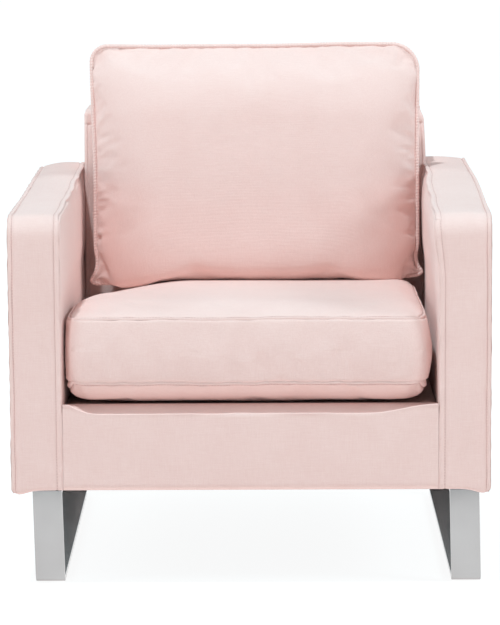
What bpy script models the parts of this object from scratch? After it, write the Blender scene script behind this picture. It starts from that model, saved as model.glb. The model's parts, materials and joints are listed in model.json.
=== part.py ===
"""Upholstered armchair with two loose cushions on chromed flat-bar sled legs.

Metres, +Z up. The chair faces -Y, +X is on the right of someone who looks at its front. The origin is on the
floor, under the middle of the chair's outer box. Left means -X.
"""

import math

import bmesh
import bpy
from mathutils import Matrix, Vector

# ---- driving dimensions -------------------------------------------------------------------------------------
WIDTH = 0.780  # over the outer faces of the arms
DEPTH = 0.740  # front of the arms to the outside back
LEG_HEIGHT = 0.160  # floor to the underside of the body
ARM_HEIGHT = 0.611
ARM_WIDTH = 0.085
BACK_HEIGHT = 0.722  # top of the fixed back
DECK_FRONT = 0.295  # height of the platform under the seat cushion, at the front
APRON_TOP = 0.286
DECK_FALL = math.radians(2.0)  # the platform falls to the rear by this angle
BACK_LEAN = math.radians(8.0)
BACK_FOOT = 0.205  # Y of the inside back, at the height of DECK_FRONT

SEAT_WIDTH = 0.590
SEAT_SHIFT = -0.006  # the loose cushion lies this far off the middle
SEAT_DEPTH = 0.568
SEAT_BORDER = (0.0005, 0.144)  # underside and upper edge of the seat cushion, above the platform
SEAT_CROWN = 0.020

PILLOW_WIDTH = 0.584  # over the piping
PILLOW_SHIFT = 0.003
PILLOW_HEIGHT = 0.420
PILLOW_THICKNESS = 0.150
PILLOW_FOOT = 0.4305  # height of the back cushion's lowest point
PIPING_RADIUS = 0.004

# ---- materials' thicknesses ---------------------------------------------------------------------------------
GAP = 0.0003  # between pieces that touch
FABRIC = 0.002
WADDING = 0.010
BAR_WIDTH = 0.048
BAR_THICKNESS = 0.010
BOARD = 0.025
SPRING_WIRE_RADIUS = 0.0018
ZIP_WIDTH = 0.024
ZIP_THICKNESS = 0.0015

# ---- worked out from them -----------------------------------------------------------------------------------
HALF_WIDTH = WIDTH / 2
FRONT = -DEPTH / 2
REAR = DEPTH / 2
ARM_INNER = HALF_WIDTH - ARM_WIDTH  # X of an arm's inner face
BASE = LEG_HEIGHT + 0.0016  # underside of the frame and of the covers, above the dust cover
FRAME_INSET = FABRIC + WADDING + 2 * GAP  # from a padded face to the wood behind it
ARM_WOOD = (ARM_INNER + FRAME_INSET, HALF_WIDTH - FRAME_INSET)  # X of the arm's wooden members
ARM_WOOD_TOP = ARM_HEIGHT - FRAME_INSET
WOOD_FRONT = FRONT + FRAME_INSET
COVER_REAR = REAR - FABRIC - GAP  # where the covers meet the outside back panel
RAIL_TOP = 0.034  # seat rails, below the platform's surface
LEG_X = {"left": -0.3320, "right": 0.3465}  # the pair stands a little to the right of the middle
SCREW_Y = (-0.30, -0.10, 0.10, 0.30)
SIDES = (("left", -1), ("right", 1))


# ---- helpers ------------------------------------------------------------------------------------------------
def clear_scene():
    for obj in list(bpy.data.objects):
        bpy.data.objects.remove(obj, do_unlink=True)


def make_material(name, colour, roughness, metallic=0.0):
    material = bpy.data.materials.new(name)
    material.use_nodes = True
    shader = material.node_tree.nodes["Principled BSDF"]
    shader.inputs["Base Color"].default_value = (*colour, 1.0)
    shader.inputs["Roughness"].default_value = roughness
    shader.inputs["Metallic"].default_value = metallic
    material.diffuse_color = (*colour, 1.0)
    return material


def file_away(obj, name, material=None, parent=None, collection=None):
    """Names the object, gives it its material and parent, and moves it to its collection."""
    obj.name = name
    obj.data.name = name
    if material is not None:
        obj.data.materials.clear()
        obj.data.materials.append(material)
    if parent is not None:
        obj.parent = parent
    for old in list(obj.users_collection):
        old.objects.unlink(obj)
    (collection or CHAIR).objects.link(obj)
    return obj


def add_frame(name, location, angle_x):
    """An empty that carries the tilted pieces."""
    frame = bpy.data.objects.new(name, None)
    frame.location = location
    frame.rotation_euler = (angle_x, 0.0, 0.0)
    CHAIR.objects.link(frame)
    return frame


def add_bevel(obj, width, segments=2, angle=math.radians(30)):
    bevel = obj.modifiers.new("rounding", "BEVEL")
    bevel.width = width
    bevel.segments = segments
    bevel.limit_method = "ANGLE"
    bevel.angle_limit = angle
    return bevel


def add_box(name, low, high, material, parent=None, bevel=0.0, segments=2):
    """A box between two corners, in the frame of its parent."""
    low, high = Vector(low), Vector(high)
    bpy.ops.mesh.primitive_cube_add(size=1.0)
    obj = bpy.context.object
    obj.data.transform(Matrix.Diagonal((*(high - low), 1.0)))
    obj.location = (low + high) / 2
    file_away(obj, name, material, parent)
    if bevel:
        add_bevel(obj, bevel, segments)
    return obj


def add_cylinder(name, radius, low_z, high_z, xy, material=None, sides=16, collection=None):
    bpy.ops.mesh.primitive_cylinder_add(vertices=sides, radius=radius, depth=high_z - low_z)
    obj = bpy.context.object
    obj.location = (*xy, (low_z + high_z) / 2)
    return file_away(obj, name, material, None, collection)


def mesh_object(name, bm, material, parent=None):
    mesh = bpy.data.meshes.new(name)
    bm.to_mesh(mesh)
    bm.free()
    obj = bpy.data.objects.new(name, mesh)
    bpy.context.scene.collection.objects.link(obj)
    return file_away(obj, name, material, parent)


def add_outline(name, outlines, thickness, location, rotation, material, parent=None):
    """A flat piece of the given thickness: 2D outlines, filled between the outer one and any inner ones."""
    curve = bpy.data.curves.new(name, "CURVE")
    curve.dimensions = "2D"
    curve.fill_mode = "BOTH"
    curve.extrude = thickness / 2
    for points in outlines:
        spline = curve.splines.new("POLY")
        spline.points.add(len(points) - 1)
        spline.use_cyclic_u = True
        for point, (u, v) in zip(spline.points, points):
            point.co = (u, v, 0.0, 1.0)
    obj = bpy.data.objects.new(name, curve)
    obj.location = location
    obj.rotation_euler = rotation
    bpy.context.scene.collection.objects.link(obj)
    return file_away(obj, name, material, parent)


# A curve drawn in its own XY plane stands in the chair's YZ plane (a side view) or XZ plane (a front view).
SIDE_VIEW = (math.pi / 2, 0.0, math.pi / 2)
FRONT_VIEW = (math.pi / 2, 0.0, 0.0)


def add_tube(name, points, radius, material, parent=None, cyclic=False, resolution=2):
    curve = bpy.data.curves.new(name, "CURVE")
    curve.dimensions = "3D"
    curve.bevel_depth = radius
    curve.bevel_resolution = resolution
    curve.use_fill_caps = not cyclic
    spline = curve.splines.new("POLY")
    spline.points.add(len(points) - 1)
    spline.use_cyclic_u = cyclic
    for point, co in zip(spline.points, points):
        point.co = (*co, 1.0)
    obj = bpy.data.objects.new(name, curve)
    bpy.context.scene.collection.objects.link(obj)
    return file_away(obj, name, material, parent)


def curve_to_mesh(obj):
    """Turns a curve into a closed mesh, so that it can take a Boolean."""
    bpy.context.view_layer.update()
    graph = bpy.context.evaluated_depsgraph_get()
    mesh = bpy.data.meshes.new_from_object(obj.evaluated_get(graph))
    bm = bmesh.new()
    bm.from_mesh(mesh)
    bmesh.ops.remove_doubles(bm, verts=bm.verts, dist=1e-5)
    bmesh.ops.recalc_face_normals(bm, faces=bm.faces)
    bm.to_mesh(mesh)
    bm.free()
    name, matrix, material = obj.name, obj.matrix_world.copy(), obj.data.materials[0]
    bpy.data.objects.remove(obj, do_unlink=True)
    made = bpy.data.objects.new(name, mesh)
    made.matrix_world = matrix
    bpy.context.scene.collection.objects.link(made)
    return file_away(made, name, material)


def cut(obj, cutter):
    cutter.hide_render = True
    cutter.display_type = "WIRE"
    boolean = obj.modifiers.new("cut " + cutter.name, "BOOLEAN")
    boolean.operation = "DIFFERENCE"
    boolean.solver = "EXACT"
    boolean.object = cutter


def join_with(obj, other):
    """A Boolean union with a helper, which then isn't a piece of its own."""
    cut(obj, other)
    obj.modifiers[-1].operation = "UNION"


def add_cutter_box(name, low, high, parent=None):
    cutter = add_box(name, low, high, None, parent)
    CHAIR.objects.unlink(cutter)
    CUTTERS.objects.link(cutter)
    return cutter


def solidify(obj, thickness):
    modifier = obj.modifiers.new("wall", "SOLIDIFY")
    modifier.thickness = thickness
    modifier.offset = -1.0
    modifier.use_even_offset = True
    modifier.use_rim = True


def arc(centre, radius, start, end, steps):
    """Points on an arc, in degrees, both ends included."""
    angles = [math.radians(start + (end - start) * i / steps) for i in range(steps + 1)]
    return [(centre[0] + radius * math.cos(a), centre[1] + radius * math.sin(a)) for a in angles]


def round_rectangle(low, high, radii, steps=5):
    """Corner radii run anticlockwise from the lower left."""
    (u0, v0), (u1, v1) = low, high
    a, b, c, d = radii
    points = arc((u0 + a, v0 + a), a, 180, 270, steps)
    points += arc((u1 - b, v0 + b), b, 270, 360, steps)
    points += arc((u1 - c, v1 - c), c, 0, 90, steps)
    points += arc((u0 + d, v1 - d), d, 90, 180, steps)
    return points


def lean_y(z, behind=0.0):
    """Y of the plane of the inside back at a height, or of one that lies behind it by a distance."""
    return BACK_FOOT + (z - DECK_FRONT) * math.tan(BACK_LEAN) + behind / math.cos(BACK_LEAN)


# ---- legs ---------------------------------------------------------------------------------------------------
LEG_REACH = DEPTH / 2 - 0.025  # the legs stand back from the front and the rear
GLIDE_THICKNESS = 0.0017
BAR_BEND = 0.015  # outer radius where the bar turns at the floor


def make_sled_leg(label):
    """A closed loop of flat bar, screwed up through its top run."""
    name, x = f"sled_leg_{label}", LEG_X[label]
    foot = GLIDE_THICKNESS + GAP
    outer = round_rectangle((-LEG_REACH, foot), (LEG_REACH, LEG_HEIGHT), (BAR_BEND, BAR_BEND, 0.004, 0.004))
    inner_bend = BAR_BEND - BAR_THICKNESS
    inner = round_rectangle(
        (-LEG_REACH + BAR_THICKNESS, foot + BAR_THICKNESS),
        (LEG_REACH - BAR_THICKNESS, LEG_HEIGHT - BAR_THICKNESS),
        (inner_bend, inner_bend, 0.001, 0.001),
        3,
    )
    leg = add_outline(name, [outer, inner], BAR_WIDTH, (x, 0, 0), SIDE_VIEW, CHROME)
    leg = curve_to_mesh(leg)
    for number, y in enumerate(SCREW_Y, 1):
        low_z, high_z = LEG_HEIGHT - 2 * BAR_THICKNESS, LEG_HEIGHT + BAR_THICKNESS
        hole = f"{name}_hole_{number}"
        cut(leg, add_cylinder(hole, 0.0034, low_z, high_z, (x, y), None, 12, CUTTERS))


def make_glides(label):
    """Thin plastic pads that the runner stands on."""
    for end, y in (("front", -0.31), ("rear", 0.31)):
        name = f"glide_{end}_{label}"
        add_cylinder(name, 0.011, 0.0, GLIDE_THICKNESS, (LEG_X[label], y), CLEAR_PLASTIC)


def make_leg_screws(label):
    """Pan-head machine screws, each a turned profile with a round recess in its head."""
    shank, head, recess = 0.003, 0.0065, 0.0025
    head_top = LEG_HEIGHT - BAR_THICKNESS - GAP
    head_low = head_top - 0.0035
    profile = [
        (0.0, head_top + 0.045),
        (shank, head_top + 0.045),
        (shank, head_top),
        (head, head_top),
        (head * 0.8, head_low),
        (recess, head_low),
        (recess, head_low + 0.002),
        (0.0, head_low + 0.002),
    ]
    for number, y in enumerate(SCREW_Y, 1):
        bm = bmesh.new()
        verts = [bm.verts.new((r, 0.0, z)) for r, z in profile]
        for a, b in zip(verts, verts[1:]):
            bm.edges.new((a, b))
        screw = mesh_object(f"leg_screw_{label}_{number}", bm, ZINC)
        screw.location = (LEG_X[label], y, 0.0)
        turned = screw.modifiers.new("turned", "SCREW")
        turned.steps = turned.render_steps = 12
        turned.use_merge_vertices = True
        turned.merge_threshold = 0.0001


# ---- wooden frame -------------------------------------------------------------------------------------------
def arm_box(name, side, y, z, material, bevel=0.0):
    """A member of an arm's frame, as wide as the wood in the arm."""
    x = sorted(side * v for v in ARM_WOOD)
    return add_box(name, (x[0], y[0], z[0]), (x[1], y[1], z[1]), material, None, bevel)


def make_arm_frame(label, side):
    post = 0.030
    top_rail_low = ARM_WOOD_TOP - 0.020
    wood_rear = COVER_REAR - GAP
    post_z = (BASE, top_rail_low - GAP)
    arm_box(f"arm_front_post_{label}", side, (WOOD_FRONT, WOOD_FRONT + post), post_z, WOOD)
    arm_box(f"arm_rear_post_{label}", side, (wood_rear - post, wood_rear), post_z, WOOD)
    along = (WOOD_FRONT + post - 0.008, wood_rear)
    arm_box(f"arm_top_rail_{label}", side, along, (top_rail_low, ARM_WOOD_TOP), WOOD, 0.004)
    between = (WOOD_FRONT + post + GAP, wood_rear - post - GAP)
    rail = arm_box(f"arm_bottom_rail_{label}", side, between, (BASE, BASE + 0.050), WOOD)
    for number, y in enumerate(SCREW_Y, 1):
        hole = f"{rail.name}_hole_{number}"
        high_z = LEG_HEIGHT - BAR_THICKNESS + 0.047
        cut(rail, add_cylinder(hole, 0.0033, LEG_HEIGHT, high_z, (LEG_X[label], y), None, 12, CUTTERS))


def rail_top_at(y):
    """Height of the seat rails' upper edges, which carry the springs."""
    return DECK_FRONT - RAIL_TOP - (y - FRONT) * math.tan(DECK_FALL)


FRONT_RAIL_Y = (WOOD_FRONT, WOOD_FRONT + BOARD)
REAR_RAIL_Y = (0.335, 0.335 + BOARD)
POST_OUTER = ARM_INNER - FABRIC - 0.001  # X of the back posts' outer faces
POST_INNER = POST_OUTER - BOARD


def make_seat_frame():
    half = ARM_WOOD[0] - GAP
    y = FRONT_RAIL_Y
    add_box("seat_front_rail", (-half, y[0], BASE), (half, y[1], rail_top_at(y[0])), WOOD)
    half = POST_INNER - GAP
    y = REAR_RAIL_Y
    add_box("seat_rear_rail", (-half, y[0], BASE), (half, y[1], rail_top_at(y[1])), WOOD)


def make_corner_blocks():
    """Glued triangular blocks in the seat frame's corners."""
    leg, height = 0.060, 0.050
    corners = (
        ("front", ARM_WOOD[0] - GAP, FRONT_RAIL_Y[1] + GAP, 1),
        ("rear", POST_INNER - GAP, REAR_RAIL_Y[0] - GAP, -1),
    )
    for end, x, y, inwards in corners:
        for label, side in SIDES:
            triangle = [(side * x, y), (side * (x - leg), y), (side * x, y + inwards * leg)]
            name = f"corner_block_{end}_{label}"
            middle = BASE + height / 2
            add_outline(name, [triangle], height, (0, 0, middle), (0, 0, 0), WOOD)


def make_back_frame():
    top = BACK_HEIGHT - 0.015
    behind = FABRIC + 0.022 + 0.0015 + 4 * GAP  # cover, foam and webbing lie in front of the posts
    knee = DECK_FRONT + 0.015
    rear = COVER_REAR - GAP
    side_outline = [
        (rear, BASE),
        (rear, top),
        (lean_y(top, behind), top),
        (lean_y(knee, behind), knee),
        (lean_y(knee, behind), BASE),
    ]
    middle = (POST_INNER + POST_OUTER) / 2
    for label, side in SIDES:
        add_outline(f"back_post_{label}", [side_outline], BOARD, (side * middle, 0, 0), SIDE_VIEW, WOOD)
    half = POST_INNER - GAP
    y = lean_y(top, behind) + 0.004
    add_box("back_top_rail", (-half, y, top - 0.045), (half, y + BOARD, top), WOOD)
    y = lean_y(knee + 0.040, behind) + 0.004
    add_box("back_lower_rail", (-half, y, knee), (half, y + BOARD, knee + 0.040), WOOD)


# ---- suspension ---------------------------------------------------------------------------------------------
SPRING_X = (-0.21, -0.07, 0.07, 0.21)


def make_seat_springs(seat_frame):
    """Sinuous springs from the front rail to the rear rail, arched a little upwards."""
    first = FRONT_RAIL_Y[0] + BOARD / 2 - FRONT
    last = REAR_RAIL_Y[0] + BOARD / 2 - FRONT
    bars, reach, arch = 20, 0.018, 0.0115
    pitch = (last - first) / bars
    end_z = -RAIL_TOP + SPRING_WIRE_RADIUS + 0.002
    for number, x in enumerate(SPRING_X, 1):
        points = []
        for bar in range(bars + 1):
            way = 1 if bar % 2 else -1
            y = first + bar * pitch
            points += [(x - way * reach, y), (x + way * reach, y)]
            if bar < bars:
                turn = arc((0.0, y + pitch / 2), pitch / 2, -90, 90, 4)[1:-1]
                points += [(x + way * (reach + u), v) for u, v in turn]
        line = []
        for u, v in points:
            share = (v - first) / (last - first)
            line.append((u, v, end_z + arch * math.sin(math.pi * share)))
        add_tube(f"seat_spring_{number}", line, SPRING_WIRE_RADIUS, STEEL, seat_frame, False, 1)


def make_back_webbing(back_frame):
    """Elastic webbing stretched across the back posts."""
    half, y = POST_OUTER - GAP, FABRIC + 0.022 + 2 * GAP
    for number, low in enumerate((0.075, 0.195, 0.315), 1):
        name = f"back_webbing_{number}"
        add_box(name, (-half, y, low), (half, y + 0.0015, low + 0.060), WEBBING, back_frame)


# ---- fixed upholstery ---------------------------------------------------------------------------------------
NOSE_RADIUS = 0.034  # where the front of an arm turns over into its top
SKIRT = DECK_FRONT - 0.022  # the arm's inner panel stops here, above the seat rails


def make_arm_block(name, side, inset, spare, rounding, material):
    """The arm's full form, smaller by the inset, and longer below and behind by the spare length."""
    low = Vector((ARM_INNER + inset, FRONT + inset, BASE - spare))
    high = Vector((HALF_WIDTH - inset, COVER_REAR + spare, ARM_HEIGHT - inset))
    bm = bmesh.new()
    bmesh.ops.create_cube(bm, size=1.0)
    size, centre = high - low, (low + high) / 2
    bmesh.ops.transform(bm, matrix=Matrix.Translation(centre) @ Matrix.Diagonal((*size, 1.0)), verts=bm.verts)
    nose = [e for e in bm.edges if all(v.co.y < low.y + 1e-4 and v.co.z > high.z - 1e-4 for v in e.verts)]
    bmesh.ops.bevel(bm, geom=nose, offset=NOSE_RADIUS - inset, segments=5, affect="EDGES", profile=0.5)
    if rounding:
        rear, bottom = high.y - 1e-4, low.z + 1e-4
        long = [e for e in bm.edges if e.calc_face_angle() > math.radians(60)]
        open_ends = [e for e in long if all(v.co.y > rear for v in e.verts) or all(v.co.z < bottom for v in e.verts)]
        sharp = [e for e in long if e not in open_ends]
        bmesh.ops.bevel(bm, geom=sharp, offset=rounding, segments=2, affect="EDGES", profile=0.5)
    for vertex in bm.verts:
        vertex.co.x *= side
    if side < 0:
        bmesh.ops.reverse_faces(bm, faces=bm.faces)
    return mesh_object(name, bm, material)


def make_arm_shell(name, side, inset, thickness, rounding, material):
    """The arm's outer, front, top and inner faces as one wall, open below and at the rear."""
    spare = 0.010
    shell = make_arm_block(name, side, inset, 0.0, rounding, material)
    core = make_arm_block(name + "_core", side, inset + thickness, spare, 0.0, None)
    CHAIR.objects.unlink(core)
    CUTTERS.objects.link(core)
    cut(shell, core)
    x = sorted((side * (ARM_INNER - spare), side * (ARM_INNER + inset + thickness + 0.0005)))
    low = (x[0], FRONT + inset + thickness + GAP, BASE - spare)
    high = (x[1], COVER_REAR + spare, SKIRT)
    cut(shell, add_cutter_box(name + "_seat_frame_opening", low, high))


def make_arm_upholstery(label, side):
    make_arm_shell(f"arm_cover_{label}", side, 0.0, FABRIC, 0.0025, FABRIC_PINK)
    make_arm_shell(f"arm_foam_{label}", side, FABRIC + GAP, WADDING - 2 * GAP, 0.0, FOAM)


APRON_ROLL = 0.010
FLAP_DEPTH = 0.060


def make_apron():
    """The front panel below the seat: fabric that turns back over the top, on foam that pads the rail."""
    half = ARM_INNER - GAP
    flap_end = FRONT + FLAP_DEPTH
    outside = arc((FRONT + APRON_ROLL, APRON_TOP - APRON_ROLL), APRON_ROLL, 180, 90, 4)
    inside = arc((FRONT + APRON_ROLL, APRON_TOP - APRON_ROLL), APRON_ROLL - FABRIC, 90, 180, 4)
    outline = [(FRONT, BASE), *outside, (flap_end, APRON_TOP), (flap_end, APRON_TOP - FABRIC)]
    outline += [*inside, (FRONT + FABRIC, BASE)]
    add_outline("apron_cover", [outline[::-1]], 2 * half, (0, 0, 0), SIDE_VIEW, FABRIC_PINK)
    front, back = FRONT + FABRIC + GAP, WOOD_FRONT - GAP
    low, high = APRON_TOP - 0.0195, APRON_TOP - FABRIC - GAP
    outline = [(front, BASE), (back, BASE), (back, low), (flap_end, low), (flap_end, high)]
    outline += [(FRONT + APRON_ROLL, high), (front, APRON_TOP - APRON_ROLL)]
    add_outline("apron_foam", [outline], 2 * half, (0, 0, 0), SIDE_VIEW, FOAM)


def make_deck(seat_frame):
    """The platform that the seat cushion lies on: a felt pad on the springs and a cloth over it."""
    half = ARM_INNER - 0.002
    rear = BACK_FOOT - FRONT + 0.020
    y = (FLAP_DEPTH + 0.0015, rear)
    add_box("deck_cloth", (-half, y[0], -FABRIC), (half, y[1], 0.0), LINING, seat_frame)
    z = (-FABRIC - GAP - 0.014, -FABRIC - GAP)
    add_box("deck_pad", (-half, y[0], z[0]), (half, y[1], z[1]), FELT, seat_frame)


def make_back_upholstery(back_frame):
    """The inside back, which turns over the top and down both sides, and its foam."""
    half = ARM_INNER - 2 * GAP
    low_z = DECK_FRONT + 0.004
    bm = bmesh.new()
    bmesh.ops.create_cube(bm, size=1.0)
    for vertex in bm.verts:
        z = BACK_HEIGHT if vertex.co.z > 0 else low_z
        y = COVER_REAR if vertex.co.y > 0 else lean_y(z)
        vertex.co = (half * (1 if vertex.co.x > 0 else -1), y, z)

    def unwanted(face):
        middle = face.calc_center_median()
        return middle.z < low_z + 1e-4 or middle.y > COVER_REAR - 1e-4

    bmesh.ops.delete(bm, geom=[f for f in bm.faces if unwanted(f)], context="FACES")
    sharp = [e for e in bm.edges if len(e.link_faces) == 2]
    bmesh.ops.bevel(bm, geom=sharp, offset=0.012, segments=3, affect="EDGES", profile=0.5)
    cover = mesh_object("back_cover", bm, FABRIC_PINK)
    solidify(cover, FABRIC)
    y = (FABRIC + GAP, FABRIC + GAP + 0.022)
    top = (BACK_HEIGHT - DECK_FRONT) / math.cos(BACK_LEAN) - 0.010
    half -= FABRIC + 2 * GAP
    add_box("back_foam", (-half, y[0], 0.008), (half, y[1], top), FOAM, back_frame, 0.010, 2)


def make_outside_back():
    """One flat panel that closes the whole rear, wide behind the arms and narrower above them."""
    wide, narrow = HALF_WIDTH - 0.004, ARM_INNER - 0.004
    step, top = ARM_HEIGHT - 0.004, BACK_HEIGHT - 0.004
    half_outline = [(wide, BASE), (wide, step), (narrow, step), (narrow, top)]
    outline = half_outline + [(-u, v) for u, v in reversed(half_outline)]
    location = (0, REAR - FABRIC / 2, 0)
    add_outline("outside_back_panel", [outline], FABRIC, location, FRONT_VIEW, FABRIC_PINK)


def make_dust_cover():
    """Black non-woven cloth under the frame, which the leg screws go through."""
    edge = 0.012
    low = (-HALF_WIDTH + edge, FRONT + edge, LEG_HEIGHT + GAP)
    high = (HALF_WIDTH - edge, COVER_REAR - 0.008, BASE - GAP)
    cloth = add_box("dust_cover", low, high, DUST_CLOTH)
    for label, x in LEG_X.items():
        for number, y in enumerate(SCREW_Y, 1):
            hole = f"dust_cover_hole_{label}_{number}"
            z = (LEG_HEIGHT - 0.005, BASE + 0.005)
            cut(cloth, add_cylinder(hole, 0.004, *z, (x, y), None, 12, CUTTERS))


# ---- loose cushions -----------------------------------------------------------------------------------------
def make_cushion_body(name, inset, material, parent):
    """The seat cushion's outer form, a box with a crowned top, or the same form smaller by an inset."""
    cuts = 4
    half_x, half_y = SEAT_WIDTH / 2 - inset, SEAT_DEPTH / 2 - inset
    low, high = SEAT_BORDER[0] + inset, SEAT_BORDER[1] - inset
    bm = bmesh.new()
    bmesh.ops.create_cube(bm, size=2.0)
    bmesh.ops.subdivide_edges(bm, edges=bm.edges, cuts=cuts, use_grid_fill=True)
    for vertex in bm.verts:
        u, v, w = vertex.co
        crown = SEAT_CROWN * (1 - u * u) * (1 - v * v) * max(w, 0.0)
        z = low + (high - low) * (w + 1) / 2 + crown
        vertex.co = (u * half_x, v * half_y, z)
    cushion = mesh_object(name, bm, material, parent)
    cushion.location = (SEAT_SHIFT, SEAT_DEPTH / 2 + 0.002, 0.0)
    add_bevel(cushion, 0.026 - inset, 3, math.radians(50))
    return cushion


def pillow_half_thickness(u, v):
    """Of the back cushion, at a place from -1 to 1 across it and from -1 to 1 up it."""
    rim = 0.006
    full = (1 - abs(u) ** 6) * (1 - abs(v) ** 4)
    return rim + (PILLOW_THICKNESS / 2 - rim) * math.sqrt(max(full, 0.0))


PILLOW_HALF = (
    PILLOW_WIDTH / 2 - 2 * PIPING_RADIUS - 2 * GAP,
    PILLOW_HEIGHT / 2 - 2 * PIPING_RADIUS - 2 * GAP,
)


def make_pillow_body(name, inset, material, parent):
    """The back cushion's form: two bulging panels that meet at a thin rim, standing in the XZ plane."""
    cuts = 11
    half_x, half_z = PILLOW_HALF[0] - inset, PILLOW_HALF[1] - inset
    bm = bmesh.new()
    bmesh.ops.create_grid(bm, x_segments=cuts, y_segments=cuts, size=1.0)
    sheet = bm.faces[:]
    copy = bmesh.ops.duplicate(bm, geom=sheet)
    back = [g for g in copy["geom"] if isinstance(g, bmesh.types.BMFace)]
    front_verts = {v for f in sheet for v in f.verts}
    pair = {b: a for a, b in copy["vert_map"].items() if b not in front_verts and a in front_verts}
    rim_edges = [e for e in bm.edges if e.is_boundary and e.verts[0] in front_verts]
    partner = {a: b for b, a in pair.items()}
    for edge in rim_edges:
        a, b = edge.verts
        bm.faces.new((a, b, partner[b], partner[a]))
    for vertex in bm.verts:
        u, v, _ = vertex.co
        u, v = math.sin(u * math.pi / 2), math.sin(v * math.pi / 2)
        way = -1.0 if vertex in front_verts else 1.0
        y = way * (pillow_half_thickness(u, v) - inset)
        soften = 1 - 0.045 * (u * v) ** 8
        vertex.co = (u * half_x * soften, y, v * half_z * soften)
    bmesh.ops.reverse_faces(bm, faces=back)
    bmesh.ops.recalc_face_normals(bm, faces=bm.faces)
    pillow = mesh_object(name, bm, material, parent)
    pillow.location = (0.0, 0.0, PILLOW_HEIGHT / 2)
    return pillow


def make_slider(name, parent, at, tilt, material):
    """A zip slider with its pull lying flat along the zip. It stands out along its own +Y."""
    length, width, height = 0.012, 0.008, 0.0035
    slider = add_box(name, (-length / 2, 0, -width / 2), (length / 2, height, width / 2), material, parent)
    half = (Vector((length, height, width)) / 2).copy()
    slider.data.transform(Matrix.Translation((0.0, half.y, 0.0)))
    slider.location = at
    slider.rotation_euler = (tilt, 0.0, 0.0)
    pull = add_cutter_box(name + "_pull", (0.0, 0.0, 0.0), (0.026, 0.0015, 0.0055), slider)
    pull.location = (length / 2 + 0.011, height - 0.0009, 0.0)
    join_with(slider, pull)
    return slider


SEAT_ZIP_HALF = 0.240
PILLOW_ZIP_HALF = 0.170


def make_seat_cushion(seat_frame):
    cover = make_cushion_body("seat_cushion_cover", 0.0, FABRIC_PINK, seat_frame)
    solidify(cover, FABRIC)
    make_cushion_body("seat_cushion_foam", FABRIC + 0.0012, FOAM, seat_frame)
    rear = SEAT_DEPTH + 0.002
    middle = sum(SEAT_BORDER) / 2
    half = ZIP_WIDTH / 2
    low = (SEAT_SHIFT - SEAT_ZIP_HALF, rear - ZIP_THICKNESS, middle - half)
    high = (SEAT_SHIFT + SEAT_ZIP_HALF, rear, middle + half)
    add_box("seat_zip_tape", low, high, ZIP_TAPE, seat_frame)
    slot_low = [low[0] - GAP, rear - FABRIC - 0.0008, low[2] - GAP]
    slot_high = [high[0] + GAP, rear + 0.010, high[2] + GAP]
    cut(cover, add_cutter_box("seat_zip_slot", slot_low, slot_high, seat_frame))
    at = (low[0] + 0.010, rear + GAP, middle)
    make_slider("seat_zip_slider", seat_frame, at, 0.0, ZINC)


def make_back_cushion(pillow_frame):
    cover = make_pillow_body("back_cushion_cover", 0.0, FABRIC_PINK, pillow_frame)
    solidify(cover, FABRIC)
    make_pillow_body("back_cushion_fill", FABRIC + 0.0010, FIBRE, pillow_frame)
    grow = PIPING_RADIUS + GAP
    half_x, half_z = PILLOW_HALF[0] + grow, PILLOW_HALF[1] + grow
    ring = round_rectangle((-half_x, -half_z), (half_x, half_z), (0.030,) * 4, 5)
    line = [(u, 0.0, v + PILLOW_HEIGHT / 2) for u, v in ring]
    add_tube("back_cushion_piping", line, PIPING_RADIUS, FABRIC_PINK, pillow_frame, True, 2)

    # The zip lies low on the rear panel, on its slope.
    height = -0.140 / PILLOW_HALF[1]
    step = 0.01
    rise = pillow_half_thickness(0, height + step) - pillow_half_thickness(0, height - step)
    slope = math.atan2(rise, 2 * step * PILLOW_HALF[1])
    z = PILLOW_HEIGHT / 2 + height * PILLOW_HALF[1]
    zip_frame = bpy.data.objects.new("back_zip_frame", None)
    CHAIR.objects.link(zip_frame)
    zip_frame.parent = pillow_frame
    zip_frame.location = (0.0, pillow_half_thickness(0, height), z)
    zip_frame.rotation_euler = (-slope, 0.0, 0.0)
    half = ZIP_WIDTH / 2
    low, high = (-PILLOW_ZIP_HALF, -ZIP_THICKNESS, -half), (PILLOW_ZIP_HALF, 0.0, half)
    add_box("back_zip_tape", low, high, ZIP_TAPE, zip_frame)
    slot_low = (low[0] - GAP, -FABRIC - 0.0035, low[2] - GAP)
    slot_high = (high[0] + GAP, 0.008, high[2] + GAP)
    cut(cover, add_cutter_box("back_zip_slot", slot_low, slot_high, zip_frame))
    at = (-PILLOW_ZIP_HALF + 0.010, GAP, 0.0)
    make_slider("back_zip_slider", zip_frame, at, 0.0, ZINC)


# ---- the chair ----------------------------------------------------------------------------------------------
clear_scene()
CHAIR = bpy.data.collections.new("armchair")
CUTTERS = bpy.data.collections.new("cutters")
bpy.context.scene.collection.children.link(CHAIR)
bpy.context.scene.collection.children.link(CUTTERS)

FABRIC_PINK = make_material("pink fabric", (0.83, 0.66, 0.62), 0.9)
LINING = make_material("pink lining", (0.74, 0.58, 0.55), 0.95)
FOAM = make_material("foam", (0.86, 0.80, 0.62), 0.9)
FIBRE = make_material("polyester fibre", (0.90, 0.90, 0.88), 0.95)
FELT = make_material("felt", (0.55, 0.54, 0.52), 0.95)
DUST_CLOTH = make_material("dust cloth", (0.03, 0.03, 0.03), 0.9)
WEBBING = make_material("elastic webbing", (0.12, 0.11, 0.11), 0.85)
WOOD = make_material("pine", (0.63, 0.45, 0.27), 0.7)
STEEL = make_material("spring steel", (0.30, 0.30, 0.31), 0.4, 1.0)
ZINC = make_material("zinc-plated steel", (0.66, 0.66, 0.65), 0.3, 1.0)
CHROME = make_material("chrome", (0.80, 0.80, 0.81), 0.06, 1.0)
CLEAR_PLASTIC = make_material("glide plastic", (0.10, 0.10, 0.10), 0.4)
ZIP_TAPE = make_material("zip tape", (0.80, 0.64, 0.60), 0.85)

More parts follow.
